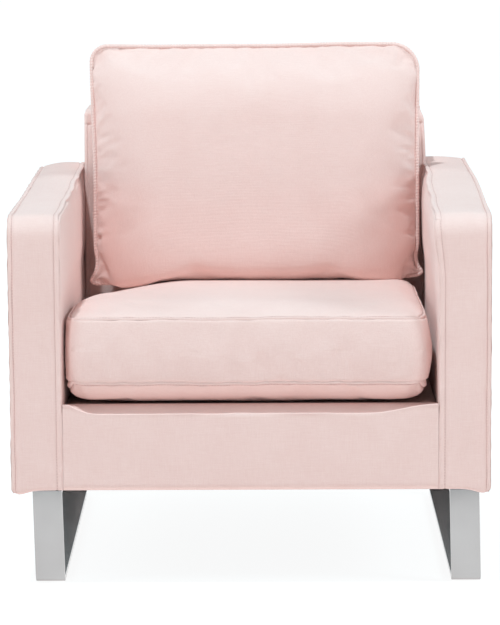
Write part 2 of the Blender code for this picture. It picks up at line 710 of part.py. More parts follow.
SEAT_FRAME = add_frame("seat_frame", (0, FRONT, DECK_FRONT), -DECK_FALL)
BACK_FRAME = add_frame("back_frame", (0, BACK_FOOT, DECK_FRONT), -BACK_LEAN)
PILLOW_Y = lean_y(PILLOW_FOOT) - (PILLOW_THICKNESS / 2 + 0.003) / math.cos(BACK_LEAN)
PILLOW_FRAME = add_frame("pillow_frame", (PILLOW_SHIFT, PILLOW_Y, PILLOW_FOOT), -BACK_LEAN)

for arm_label, arm_side in SIDES:
    make_sled_leg(arm_label)
    make_glides(arm_label)
    make_leg_screws(arm_label)
    make_arm_frame(arm_label, arm_side)
    make_arm_upholstery(arm_label, arm_side)
make_seat_frame()
make_corner_blocks()
make_back_frame()
make_seat_springs(SEAT_FRAME)
make_back_webbing(BACK_FRAME)
make_apron()
make_deck(SEAT_FRAME)
make_back_upholstery(BACK_FRAME)
make_outside_back()
make_dust_cover()
make_seat_cushion(SEAT_FRAME)
make_back_cushion(PILLOW_FRAME)
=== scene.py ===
import json
import math

import bmesh
import bpy
import numpy as np
from mathutils import Matrix, Vector, noise


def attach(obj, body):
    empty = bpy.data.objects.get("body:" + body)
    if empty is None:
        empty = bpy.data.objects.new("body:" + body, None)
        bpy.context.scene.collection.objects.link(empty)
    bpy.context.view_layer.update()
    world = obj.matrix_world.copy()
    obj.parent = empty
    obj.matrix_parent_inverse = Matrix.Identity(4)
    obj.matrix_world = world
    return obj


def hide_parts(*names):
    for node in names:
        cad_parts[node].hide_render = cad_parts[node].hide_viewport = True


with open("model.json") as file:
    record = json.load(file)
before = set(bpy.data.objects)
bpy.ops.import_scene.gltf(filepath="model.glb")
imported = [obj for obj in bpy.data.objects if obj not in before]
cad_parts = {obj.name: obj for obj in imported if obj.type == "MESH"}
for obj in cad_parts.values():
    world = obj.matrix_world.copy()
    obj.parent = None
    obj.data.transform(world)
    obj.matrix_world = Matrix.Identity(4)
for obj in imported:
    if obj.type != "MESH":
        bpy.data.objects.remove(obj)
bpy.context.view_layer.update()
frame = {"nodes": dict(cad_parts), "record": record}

CLOTH = 0.002  # thickness of the cover cloth
NOISE_GAIN = 1.8  # brings the smooth noise to about -1 to 1

# ---- sizes, in metres, repeated from the CAD model ----
HALF_WIDTH = 0.390
FRONT, REAR = -0.370, 0.370
COVER_REAR = 0.3677
ARM_INNER = 0.305
BASE = 0.1616
ARM_TOP = 0.611
BACK_TOP = 0.722
NOSE_RADIUS = 0.034
DECK_FRONT = 0.295
DECK_FALL = math.radians(2.0)
BACK_LEAN = math.radians(8.0)
BACK_FOOT = 0.205
SEAT_DEPTH, SEAT_SHIFT = 0.568, -0.006
PILLOW_THICKNESS = 0.150
PILLOW_FOOT, PILLOW_SHIFT = 0.4305, 0.003
PILLOW_STAND_OFF = 0.078  # from the fixed back to the back cushion's middle
PILLOW_Y = (BACK_FOOT + (PILLOW_FOOT - DECK_FRONT) * math.tan(BACK_LEAN)
            - PILLOW_STAND_OFF / math.cos(BACK_LEAN))
LEG_X = {"left": -0.3320, "right": 0.3465}
LEG_HEIGHT, LEG_REACH, BAR_WIDTH, BAR_THICKNESS = 0.160, 0.345, 0.048, 0.010
LEG_LEAN, LEG_TURN = 0.022, 0.011  # both legs lean a little to one side, and turn a little at the rear
LEG_SHIFT = {"left": 0.0, "right": 0.0035}  # how far each leg stands beside its nominal place
SIDES = (("left", -1), ("right", 1))

# the seat cushion's frame stands on the platform's front edge, the back cushion's at the middle of its foot
SEAT_FRAME = Matrix.Translation((0, FRONT, DECK_FRONT)) @ Matrix.Rotation(-DECK_FALL, 4, "X")
PILLOW_PLACE = Matrix.Translation((PILLOW_SHIFT, PILLOW_Y, PILLOW_FOOT))
PILLOW_FRAME = PILLOW_PLACE @ Matrix.Rotation(-BACK_LEAN, 4, "X")


# ---- meshes ----
def make_piece(name, points, faces, material, body="chair_body", stands_for=()):
    """A smooth mesh that rides on a body and stands for CAD nodes."""
    mesh = bpy.data.meshes.new(name)
    mesh.from_pydata([tuple(map(float, p)) for p in points], [], faces)
    mesh.polygons.foreach_set("use_smooth", [True] * len(mesh.polygons))
    mesh.materials.append(material)
    piece = bpy.data.objects.new(name, mesh)
    bpy.context.scene.collection.objects.link(piece)
    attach(piece, body)
    if stands_for:
        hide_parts(*stands_for)
    return piece


def shade_flat(piece):
    piece.data.polygons.foreach_set("use_smooth", [False] * len(piece.data.polygons))


def adjust(thing, **settings):
    """Sets several properties of a thing, and returns it."""
    for key, value in settings.items():
        setattr(thing, key, value)
    return thing


def add_wall(piece, thickness=CLOTH):
    """Gives a single sheet its thickness, inwards."""
    wall = piece.modifiers.new("solidify", "SOLIDIFY")
    adjust(wall, thickness=thickness, offset=-1.0, use_even_offset=False)


def ruled(low, high, step, near=()):
    """Coordinates from low to high about a step apart, with extra ones at these distances from both ends."""
    margin = max(near) if near else 0.0
    count = max(1, round((high - low - 2 * margin) / step))
    middle = np.linspace(low + margin, high - margin, count + 1)
    ends = [low + d for d in near if d < margin] + [high - d for d in near if d < margin]
    return sorted({round(float(v), 6) for v in [low, high, *ends, *middle]})


def box_surface(xs, ys, zs, keep=None):
    """The surface of a box on a lattice, as points and outward quads. keep drops faces by side name."""
    index, points, faces = {}, [], []

    def at(i, j, k):
        key = (i, j, k)
        if key not in index:
            index[key] = len(points)
            points.append((xs[i], ys[j], zs[k]))
        return index[key]

    nx, ny, nz = len(xs) - 1, len(ys) - 1, len(zs) - 1

    def quad(side, *corners):
        if keep is None or keep(side, np.mean([(xs[i], ys[j], zs[k]) for i, j, k in corners], axis=0)):
            faces.append(tuple(at(*corner) for corner in corners))

    for j in range(ny):
        for k in range(nz):
            quad("-x", (0, j, k), (0, j, k + 1), (0, j + 1, k + 1), (0, j + 1, k))
            quad("+x", (nx, j, k), (nx, j + 1, k), (nx, j + 1, k + 1), (nx, j, k + 1))
    for i in range(nx):
        for k in range(nz):
            quad("-y", (i, 0, k), (i + 1, 0, k), (i + 1, 0, k + 1), (i, 0, k + 1))
            quad("+y", (i, ny, k), (i, ny, k + 1), (i + 1, ny, k + 1), (i + 1, ny, k))
    for i in range(nx):
        for j in range(ny):
            quad("-z", (i, j, 0), (i, j + 1, 0), (i + 1, j + 1, 0), (i + 1, j, 0))
            quad("+z", (i, j, nz), (i + 1, j, nz), (i + 1, j + 1, nz), (i, j + 1, nz))
    return np.array(points), faces


def add_box(points, faces, xs, ys, zs):
    """Adds a plain box, from its two coordinates on each axis, to lists of points and faces."""
    corners, quads = box_surface(xs, ys, zs)
    faces += [tuple(len(points) + i for i in quad) for quad in quads]
    points += list(corners)


def sheet_surface(columns, rows, place):
    """A grid whose point at (column, row) is place(column, row), and its quads."""
    points = np.array([place(u, v) for v in rows for u in columns])
    n = len(columns)
    faces = [
        (r * n + c, r * n + c + 1, (r + 1) * n + c + 1, (r + 1) * n + c)
        for r in range(len(rows) - 1)
        for c in range(n - 1)
    ]
    return points, faces


def ripple(along, size, seed):
    """Smooth noise of about -1 to 1 along a line, whose bumps are of the given size."""
    marks = [Vector((float(v) / size, seed * 7.31, 0.5)) for v in np.atleast_1d(along)]
    return np.array([noise.noise(mark) * NOISE_GAIN for mark in marks])


def lumps(points, size, seed):
    """The same at points in space."""
    offset = Vector((seed * 3.7, 0.0, 0.0))
    return np.array([noise.noise(Vector(p) / size + offset) * NOISE_GAIN for p in points])


def soften(value):
    """0 below 0, 1 above 1, with a smooth step between."""
    t = np.clip(value, 0.0, 1.0)
    return t * t * (3 - 2 * t)


def bell(value, width):
    """1 at 0, falling to 0 on both sides within about twice the width."""
    return np.exp(-((value / width) ** 2))


def to_disc(a, b):
    """Bends the corner of a square grid, with a and b from 0 to 1, to a quarter disc."""
    longest = np.maximum(a, b)
    length = np.hypot(a, b)
    scale = np.where(length > 1e-9, longest / np.maximum(length, 1e-9), 1.0)
    return a * scale, b * scale


def transformed(points, matrix):
    m = np.array(matrix)
    return points @ m[:3, :3].T + m[:3, 3]


def ring_tube(path, radius_at, sides):
    """A tube swept round a closed path. radius_at(distance, angle) gives its radius."""
    path = [Vector(p) for p in path]
    count = len(path)
    travelled, points, faces = 0.0, [], []
    normal = None
    for i, here in enumerate(path):
        tangent = (path[(i + 1) % count] - path[i - 1]).normalized()
        side = normal if normal is not None else tangent.orthogonal()
        normal = (side - tangent * side.dot(tangent)).normalized()
        binormal = tangent.cross(normal)
        if i:
            travelled += (here - path[i - 1]).length
        for s in range(sides):
            angle = 2 * math.pi * s / sides
            reach = radius_at(travelled, angle)
            points.append(here + (normal * math.cos(angle) + binormal * math.sin(angle)) * reach)
    for i in range(count):
        first, following = i * sides, (i + 1) % count * sides
        for s in range(sides):
            after = (s + 1) % sides
            faces.append((first + s, first + after, following + after, following + s))
    return points, faces


def spaced(path, step, closed=False):
    """Points at equal steps along a path."""
    points = np.array([tuple(p) for p in path])
    if closed:
        points = np.vstack([points, points[:1]])
    lengths = np.concatenate([[0.0], np.cumsum(np.linalg.norm(np.diff(points, axis=0), axis=1))])
    count = max(2, round(lengths[-1] / step))
    marks = np.linspace(0.0, lengths[-1], count + (0 if closed else 1), endpoint=not closed)
    return np.stack([np.interp(marks, lengths, points[:, axis]) for axis in range(3)], axis=1)


def make_stitches(name, path, material, body="chair_body", pitch=0.0048, closed=False):
    """A row of thread stitches that dive in and out of the cloth along a path."""
    line = spaced(path, pitch / 2, closed)
    points, faces = [], []
    for i in range(0, len(line) - 1, 2):
        start, end = Vector(line[i]), Vector(line[i + 1])
        start, end = start.lerp(end, -0.25), start.lerp(end, 1.25)
        ahead = (end - start).normalized()
        side = ahead.orthogonal().normalized()
        other = ahead.cross(side)
        first = len(points)
        for share, width in ((0.0, 0.0003), (0.3, 0.0006), (0.7, 0.0006), (1.0, 0.0003)):
            centre = start.lerp(end, share)
            points += [centre + (side * math.cos(a) + other * math.sin(a)) * width for a in
                       (0.0, math.pi / 2, math.pi, 1.5 * math.pi)]
        for ring in range(3):
            for s in range(4):
                a, b = first + ring * 4 + s, first + ring * 4 + (s + 1) % 4
                faces.append((a, b, b + 4, a + 4))
        faces.append((first + 3, first + 2, first + 1, first))
        faces.append((first + 12, first + 13, first + 14, first + 15))
    return make_piece(name, points, faces, material, body)


# ---- materials ----
class Shader:
    """A small helper that builds a node material around one Principled shader."""

    def __init__(self, name, roughness=0.5, metallic=0.0, **sockets):
        self.material = bpy.data.materials.new(name)
        self.material.use_nodes = True
        self.tree = self.material.node_tree
        self.principled = self.tree.nodes["Principled BSDF"]
        self.set(self.principled, Roughness=roughness, Metallic=metallic, **sockets)
        self.place = self.node("ShaderNodeTexCoord").outputs["Object"]

    def node(self, kind, **settings):
        return adjust(self.tree.nodes.new(kind), **settings)

    def feed(self, socket, value):
        """Links another node's output to a socket, or sets its value."""
        if isinstance(value, bpy.types.NodeSocket):
            self.tree.links.new(value, socket)
        else:
            socket.default_value = value

    def set(self, node, **values):
        for key, value in values.items():
            self.feed(node.inputs[key.replace("_", " ")], value)

    def noise(self, scale, detail=2.0, roughness=0.5):
        """Noise at one scale, or at a scale for each axis."""
        mapping = self.node("ShaderNodeMapping")
        self.set(mapping, Vector=self.place, Scale=scale if isinstance(scale, tuple) else (scale,) * 3)
        made = self.node("ShaderNodeTexNoise")
        self.set(made, Vector=mapping.outputs["Vector"], Scale=1.0, Detail=detail, Roughness=roughness)
        return made.outputs["Fac"]

    def wave(self, direction, scale, distortion=0.0):
        made = self.node("ShaderNodeTexWave", bands_direction=direction)
        self.set(made, Vector=self.place, Scale=scale, Distortion=distortion, Detail=1.0)
        return made.outputs["Fac"]

    def math(self, operation, a, b=0.0):
        made = self.node("ShaderNodeMath", operation=operation)
        self.feed(made.inputs[0], a)
        self.feed(made.inputs[1], b)
        return made.outputs[0]

    def total(self, values):
        whole = values[0]
        for value in values[1:]:
            whole = self.math("ADD", whole, value)
        return whole

    def ramp(self, factor, *stops):
        made = self.node("ShaderNodeValToRGB")
        self.tree.links.new(factor, made.inputs["Fac"])
        elements = made.color_ramp.elements
        while len(elements) < len(stops):
            elements.new(0.5)
        for element, (position, colour) in zip(elements, stops):
            element.position = position
            element.color = (*colour, 1.0)
        return made.outputs["Color"]

    def colour(self, socket):
        self.tree.links.new(socket, self.principled.inputs["Base Color"])

    def rough(self, factor, low, high):
        made = self.node("ShaderNodeMapRange")
        self.set(made, Value=factor, To_Min=low, To_Max=high)
        self.tree.links.new(made.outputs["Result"], self.principled.inputs["Roughness"])

    def bump(self, height, distance, strength=1.0, under=None):
        made = self.node("ShaderNodeBump")
        self.set(made, Height=height, Distance=distance, Strength=strength)
        if under is not None:
            self.tree.links.new(under, made.inputs["Normal"])
        self.tree.links.new(made.outputs["Normal"], self.principled.inputs["Normal"])
        return made.outputs["Normal"]


def woven(name, dark, light, yarn=0.0008, sheen=0.30):
    """A plain-weave cloth with slubbed yarns that run along X, Y and Z."""
    shader = Shader(name, 0.85, Sheen_Weight=sheen, Sheen_Roughness=0.45, Specular_IOR_Level=0.25,
                    Sheen_Tint=(1.0, 0.97, 0.96, 1.0))
    fine, long = 0.9 / yarn, 45.0
    scales = ((long, fine, fine), (fine, long, fine), (fine, fine, long))
    streaks = shader.math("DIVIDE", shader.total([shader.noise(scale, 1.0) for scale in scales]), 3.0)
    cloudy = shader.noise(14.0, 3.0)
    mixed = shader.math("ADD", shader.math("MULTIPLY", streaks, 0.8), shader.math("MULTIPLY", cloudy, 0.2))
    shader.colour(shader.ramp(mixed, (0.36, dark), (0.64, light)))
    weave = shader.total([shader.wave(axis, 1.0 / (yarn * 20) * 2 * math.pi, 0.6) for axis in "XYZ"])
    shader.rough(streaks, 0.95, 0.72)
    first = shader.bump(weave, 0.00012, 0.6)
    shader.bump(streaks, 0.00045, 0.8, first)
    return shader.material


def thread_material():
    """Sewing thread, with its twist."""
    shader = Shader("pink thread", 0.6, Sheen_Weight=0.2)
    twist = shader.wave("DIAGONAL", 900.0)
    shader.colour(shader.ramp(twist, (0.0, (0.60, 0.33, 0.30)), (1.0, (0.80, 0.50, 0.46))))
    shader.bump(twist, 0.0001)
    return shader.material


def chrome_material():
    """Polished plate: the faint lengthwise waviness of a ground and plated bar."""
    shader = Shader("chrome", 0.10, 1.0)
    wavy = shader.noise(9.0)
    grinding = shader.noise((1500.0, 6.0, 6.0), 1.0)
    shader.colour(shader.ramp(wavy, (0.3, (0.460, 0.435, 0.433)), (0.7, (0.525, 0.505, 0.503))))
    shader.rough(grinding, 0.10, 0.20)
    shader.bump(wavy, 0.0015, 0.5)
    return shader.material


def wood_material():
    """Planed pine: growth rings stretched along each member, and fine pores."""
    shader = Shader("pine", 0.65)
    rings = shader.noise((60.0, 9.0, 30.0), 4.0)
    pores = shader.noise((900.0, 60.0, 900.0))
    mixed = shader.math("ADD", shader.math("MULTIPLY", rings, 0.8), shader.math("MULTIPLY", pores, 0.2))
    early, middle, late = (0.46, 0.28, 0.13), (0.66, 0.45, 0.25), (0.76, 0.58, 0.37)
    shader.colour(shader.ramp(mixed, (0.3, early), (0.5, middle), (0.7, late)))
    shader.bump(pores, 0.0001)
    return shader.material


def porous_material(name, dark, light, size, depth):
    """Foam, felt, fibre or non-woven cloth, by the size and depth of its pores."""
    shader = Shader(name, 0.95, Sheen_Weight=0.2)
    pores = shader.noise(1 / size, 4.0, 0.65)
    shader.colour(shader.ramp(pores, (0.35, dark), (0.65, light)))
    shader.bump(pores, depth)
    return shader.material


def grained(name, dark, light, smooth, rough, fineness=900.0, detail=2.0, metallic=0.0):
    """Plastic or dull metal, whose fine grain goes from smooth to rough."""
    shader = Shader(name, smooth, metallic)
    grain = shader.noise(fineness, detail)
    shader.colour(shader.ramp(grain, (0.3, dark), (0.7, light)))
    shader.rough(grain, smooth, rough)
    shader.bump(grain, 0.00005)
    return shader.material


def metal(name, colour, roughness):
    darker = tuple(0.8 * c for c in colour)
    return grained(name, darker, colour, roughness * 0.8, roughness * 1.3, 400.0, 3.0, 1.0)


def floor_material():
    """A white studio floor that glows a little, so that shadows on it stay pale."""
    shader = Shader("pale floor", 0.6, Emission_Strength=0.90, Emission_Color=(1.0, 1.0, 1.0, 1.0))
    grain = shader.noise(3.0)
    shader.colour(shader.ramp(grain, (0.3, (0.175, 0.175, 0.175)), (0.7, (0.185, 0.185, 0.185))))
    return shader.material


PINK = woven("pink fabric", (0.905, 0.605, 0.557), (0.970, 0.694, 0.646))
LINING = woven("pink lining", (0.78, 0.56, 0.51), (0.88, 0.66, 0.61), 0.0006, 0.1)
ZIP_CLOTH = woven("zip tape", (0.62, 0.44, 0.41), (0.72, 0.54, 0.50), 0.0005, 0.1)
THREAD = thread_material()
CHROME = chrome_material()
ZINC = metal("zinc", (0.66, 0.66, 0.65), 0.3)
SPRING_STEEL = metal("spring steel", (0.30, 0.30, 0.31), 0.4)
WOOD = wood_material()
FOAM = porous_material("foam", (0.74, 0.66, 0.46), (0.90, 0.84, 0.66), 0.0012, 0.0006)
FIBRE = porous_material("polyester fibre", (0.80, 0.80, 0.78), (0.94, 0.94, 0.92), 0.004, 0.002)
FELT = porous_material("felt", (0.42, 0.41, 0.40), (0.62, 0.61, 0.59), 0.002, 0.0006)
DUST_CLOTH = porous_material("dust cloth", (0.015, 0.015, 0.015), (0.045, 0.045, 0.045), 0.0009, 0.0002)
WEBBING = woven("webbing", (0.06, 0.055, 0.055), (0.17, 0.155, 0.15), 0.0015, 0.1)
PLASTIC = grained("glide plastic", (0.07, 0.07, 0.07), (0.12, 0.12, 0.12), 0.35, 0.6)
ZIP_COIL = grained("zip coil", (0.62, 0.40, 0.37), (0.70, 0.48, 0.44), 0.35, 0.6)


# ---- arms ----
STRIP = (0.0, 0.0012, 0.0026, 0.0045, 0.0062, 0.0072, 0.0082, 0.0100, 0.0130, 0.018)  # from a strip's edge
ARM_EDGE = (0.0, 0.0012, 0.0025, 0.0045, 0.008)
ARM_STEP, ARM_FOAM_STEP = 0.0055, 0.012
OUTER_STITCH, INNER_STITCH = 0.0072, 0.0100
APRON_CLEAR = 0.285  # above this height the arm's inner edge stands clear of the apron
PILLOW_REST = 0.455  # above this height nothing presses on the arm's inner face
INNER_SWELL = 0.0085  # the right arm's inner edge swells towards the seat near its front


def nose_point(y, z, rise):
    """Carries a point of the arm's square side view to its rounded front corner, raised by rise."""
    low_y, high_z = FRONT + NOSE_RADIUS, ARM_TOP - NOSE_RADIUS
    a = np.maximum(low_y - y, 0) / NOSE_RADIUS
    b = np.maximum(z - high_z, 0) / NOSE_RADIUS
    corner = (a > 0) & (b > 0)
    disc_a, disc_b = to_disc(a, b)
    y = np.where(corner, low_y - disc_a * (NOSE_RADIUS + rise), y)
    z = np.where(corner, high_z + disc_b * (NOSE_RADIUS + rise), z)
    return y, z


def arm_shape(points, side, sewn=True):
    """Turns the flat faces of the arm's box into sewn, padded cloth."""
    p = points.copy()
    x, y, z = points.T
    across = side * x
    inner, outer = across - ARM_INNER, HALF_WIDTH - across  # distances from the two long edges
    on_front, on_top = y < FRONT + 1e-6, z > ARM_TOP - 1e-6
    on_strip = on_front | on_top
    along = np.where(on_top & ~on_front, ARM_TOP + (y - FRONT), z)
    from_inner = np.clip(inner / (HALF_WIDTH - ARM_INNER), 0, 1)
    middle = np.sin(np.pi * from_inner)
    free = soften((z - APRON_CLEAR) / 0.015)

    rise = np.zeros(len(p))
    for distance, stitch, seed in ((outer, OUTER_STITCH, 1 + side), (inner, INNER_STITCH, 4 + side)):
        wander = 0.0008 * ripple(along, 0.06, seed)
        groove = bell(distance - stitch - wander, 0.0012)
        ridge = bell(distance - stitch * 0.5, stitch * 0.30)
        pucker = ripple(along, 0.0055, seed + 9)
        rise += ridge * (0.0013 + 0.0008 * pucker) - groove * 0.0016
        rise -= 0.0022 * np.clip(1 - distance / 0.0022, 0, 1) ** 2 * (free if distance is inner else 1.0)
    rearward = soften((y - FRONT) / 0.45) * on_top
    fullness = (0.0022 + 0.0025 * rearward * (side < 0)) * middle
    fullness += 0.0010 * lumps(points, 0.12, 2 + side) * middle
    lift = rearward * np.where(side > 0, 0.0160 - 0.0030 * from_inner, 0.0085 * (1 - from_inner))
    rise = (rise * sewn + fullness + lift - 0.0015) * on_strip

    on_side = (inner < 1e-6) | (outer < 1e-6)
    from_edge = np.minimum(y - FRONT, ARM_TOP - z)
    side_rise = 0.0018 * soften(from_edge / 0.05)
    side_rise += 0.0008 * lumps(points, 0.16, 8 + side) * soften(from_edge / 0.03)
    above_seat = soften((z - PILLOW_REST) / 0.05)
    side_rise += 0.0032 * (1 - np.exp(-from_edge / 0.008)) * (inner < 1e-6) * above_seat
    side_rise += 0.0009 * ripple(y + z, 0.012, 20 + side) * np.exp(-from_edge / 0.006) * sewn
    side_rise -= 0.0020 * np.clip(1 - from_edge / 0.0025, 0, 1) ** 2
    side_rise *= on_side * np.where(inner < 1e-6, free, 1.0)
    outward = np.where(outer < 1e-6, 1.0, -1.0)
    wavy = 0.0030 * ripple(along, 0.07, 30 + side) * on_top * np.exp(-inner / 0.02)
    wavy *= soften((COVER_REAR - y) / 0.05)
    set_back = np.where(inner < 1e-6, 0.0008 * free, 0.0)
    p[:, 0] += side * (outward * (side_rise - set_back) * on_side + wavy)

    skew = 0.0040 * soften((y + 0.10) / 0.45) * soften((z - 0.30) / 0.30)
    if side > 0:
        near_front = soften((z - 0.50) / 0.10) * soften((0.10 - y) / 0.15)
        skew += INNER_SWELL * (1 - from_inner) * near_front

    new_y, new_z = nose_point(y, z, rise)
    new_y = np.where(on_front & (z <= ARM_TOP - NOSE_RADIUS), FRONT - rise, new_y)
    new_z = np.where(on_top & (y >= FRONT + NOSE_RADIUS), ARM_TOP + rise, new_z)
    p[:, 0] -= skew
    hem = np.clip(1 - (z - BASE) / 0.0045, 0, 1) ** 2
    new_y += np.where(on_front, 0.0030 * hem, 0.0)
    p[:, 0] -= side * np.where(outer < 0.010, 0.0035 * hem, 0.0)
    fold = bell(outer - 0.013, 0.017) * np.exp(-(y - FRONT) / 0.025)
    new_z -= 0.0065 * fold * soften(1 - (z - BASE) / 0.012)
    p[:, 1], p[:, 2] = new_y, new_z
    return p


def make_arm(label, side):
    """An arm's cover, its padding and two rows of topstitching that run up its front and along its top."""
    xs = sorted(side * v for v in ruled(ARM_INNER, HALF_WIDTH, 0.008, STRIP))
    ys, zs = ruled(FRONT, COVER_REAR, ARM_STEP, ARM_EDGE), ruled(BASE, ARM_TOP, ARM_STEP, ARM_EDGE)
    inner_face = "-x" if side > 0 else "+x"

    def keep(face, middle):
        below = face == inner_face and middle[2] < DECK_FRONT - 0.030 and middle[1] > FRONT + 0.012
        return face != "-z" and not below

    points, faces = box_surface(xs, ys, zs, keep)
    arm = make_piece(f"arm_upholstery_{label}", arm_shape(points, side), faces, PINK,
                     stands_for=(f"arm_cover_{label}",))
    add_wall(arm)
    coarse, foam_faces = box_surface(sorted(side * v for v in ruled(ARM_INNER, HALF_WIDTH, 0.014)),
                                     ruled(FRONT, COVER_REAR, ARM_FOAM_STEP),
                                     ruled(BASE, ARM_TOP, ARM_FOAM_STEP), keep)
    centre = (side * (ARM_INNER + HALF_WIDTH) / 2, 0.0, (BASE + ARM_TOP) / 2)
    padding = make_filling(f"arm_padding_{label}", arm_shape(coarse, side, False), foam_faces, centre,
                           (0.89, 0.988, 0.978), Matrix(), FOAM, "chair_body", f"arm_foam_{label}")
    add_wall(padding, 0.0075)
    for distance, from_inner, name in ((OUTER_STITCH, False, "outer"), (INNER_STITCH, True, "inner")):
        across = ARM_INNER + distance if from_inner else HALF_WIDTH - distance
        front = [(side * across, FRONT, z) for z in np.arange(BASE + 0.002, ARM_TOP - 0.0001, 0.004)]
        top = [(side * across, y, ARM_TOP) for y in np.arange(FRONT, COVER_REAR, 0.004)]
        line = arm_shape(np.array(front + top), side)
        make_stitches(f"arm_topstitch_{name}_{label}", line, THREAD)


# ---- apron, platform, fixed back ----
def apron_top(x):
    """Height of the apron's rolled edge, which sags between the arms."""
    rise = min(1.0, max(0.0, (-x - 0.248) / 0.047)) ** 2 + soften((x - 0.190) / 0.115)
    return 0.2885 + 0.0145 * float(rise) + 0.0006 * float(ripple(x, 0.05, 40)[0])


def make_apron():
    roll = 0.0016
    columns = ruled(-ARM_INNER + 0.0003, ARM_INNER - 0.0003, 0.0055, (0.0, 0.0015, 0.003, 0.005))
    face, rolled, flap = np.linspace(0.0, 1.0, 22), np.linspace(1.1, 2.0, 10), np.linspace(2.04, 3.0, 20)
    rows = [*face, *rolled, *flap]

    def place(x, v):
        top = apron_top(x)
        edge = ARM_INNER - abs(x)
        full = soften(edge / 0.03)
        pucker = 0.0005 * float(ripple(v * 0.13, 0.011, 50 + (x > 0))[0]) * math.exp(-edge / 0.008)
        if v <= 1.0:
            z = BASE + v * (top - roll - BASE)
            bulge = 0.0015 * math.sin(math.pi * v) * full + 0.0006 * noise.noise(Vector((x * 9, 3.0, z * 9)))
            hem = max(0.0, 1 - (z - BASE) / 0.0045) ** 2
            return (x, FRONT + 0.0004 * (1 - full) + 0.0030 * hem - bulge - pucker, z)
        if v <= 2.0:
            angle = (v - 1.0) * math.pi / 2
            return (x, FRONT + roll - roll * math.cos(angle) - pucker, top - roll + roll * math.sin(angle))
        back = (v - 2.0) * 0.058
        swell, fall = soften((back - 0.010) / 0.024), soften((back - 0.036) / 0.020)
        tuck = 0.0030 * soften(back / 0.003)
        return (x, FRONT + roll + back, top - tuck + (0.2982 - top + tuck) * swell - 0.0057 * fall)

    points, faces = sheet_surface(columns, rows, place)
    apron = make_piece("apron_upholstery", points, faces, PINK, stands_for=("apron_cover",))
    padding = make_filling("apron_padding", points, faces, (0.0, 0.0, BASE), (0.985, 0.989, 0.972),
                           Matrix(), FOAM, "chair_body", "apron_foam")
    add_wall(apron)
    add_wall(padding, 0.0020)


def make_platform():
    """The cloth under the seat cushion, pulled into shallow hollows between the springs."""
    columns = ruled(-0.303, 0.303, 0.010)
    rows = [0.0598, 0.0600, 0.0604] + ruled(0.0615, 0.5955, 0.010)

    def place(x, v):
        edge = soften(min(0.303 - abs(x), v - 0.0615, 0.5955 - v) / 0.03)
        dip = 0.0004 * math.cos(x * 2 * math.pi / 0.14) * edge
        wrinkle = 0.0004 * noise.noise(Vector((x * 30, v * 12, 1.0)))
        turned_down = 0.011 * math.sqrt(max(0.0, 0.0615 - v) / 0.0017)
        return (x, v, -0.0009 + dip + wrinkle - turned_down)

    points, faces = sheet_surface(columns, rows, place)
    cloth = make_piece("platform_cloth", transformed(points, SEAT_FRAME), faces, LINING,
                       stands_for=("deck_cloth",))
    add_wall(cloth, 0.0016)


BOXING = 0.0240  # depth of the strip that caps the fixed back


def lean_y(z):
    """Where the fixed back's front stands at a height."""
    return BACK_FOOT + (z - DECK_FRONT) * math.tan(BACK_LEAN)


def make_fixed_back():
    """The padded inside back. Its left corner is crisp, its right one soft, and a boxing strip caps it."""
    half, low_z, edge_radius = ARM_INNER - 0.0006, DECK_FRONT - 0.030, 0.007
    near = (0.0, 0.0010, 0.0025, 0.0045, 0.0060, 0.0070, 0.0080, 0.0100, 0.0135, 0.0180,
            0.0230, BOXING, 0.0250, 0.0270)
    xs = ruled(-half, half, 0.009, near)
    zs = ruled(low_z, BACK_TOP, 0.009, near)
    depths = ruled(0.0, 1.0, 0.06)
    lattice, faces = box_surface(xs, depths, zs, lambda face, middle: face != "-z")
    p = lattice.copy()
    from_side, from_top = half - np.abs(lattice[:, 0]), BACK_TOP - lattice[:, 2]
    edge = np.minimum(from_side, from_top)
    turn = edge_radius * (1 - np.sqrt(1 - np.clip(1 - edge / edge_radius, 0, 1) ** 2))
    front = np.array([lean_y(z) for z in p[:, 2]])
    round_corners(p, 0, 2, (-half, low_z), (half, BACK_TOP), {(-1, 1): 0.007, (1, 1): 0.018})
    p[:, 0] += 0.0045 * soften((p[:, 0] - 0.26) / 0.04) * soften((BACK_TOP + 0.03 - p[:, 2]) / 0.13)
    on_front = lattice[:, 1] < 1e-6
    seams = bell(from_top - BOXING, 0.0012) + bell(from_side - 0.0070, 0.0011) * (from_top > BOXING)
    surface = 0.0014 * lumps(p, 0.10, 60) * soften(edge / 0.02) - 0.0015 * seams
    p[:, 1] = np.where(on_front, front + turn - surface,
                       front + edge_radius + lattice[:, 1] * (COVER_REAR - front - edge_radius))
    p[:, 2] += np.where(lattice[:, 2] > BACK_TOP - 1e-6, 0.0025, 0.0)
    back = make_piece("back_upholstery", p, faces, PINK, stands_for=("back_cover",))
    centre = (0.0, COVER_REAR, low_z)
    padding = make_filling("back_padding", p, faces, centre, (0.975, 0.960, 0.982), Matrix(), FOAM,
                           "chair_body", "back_foam")
    add_wall(back)
    add_wall(padding, 0.006)


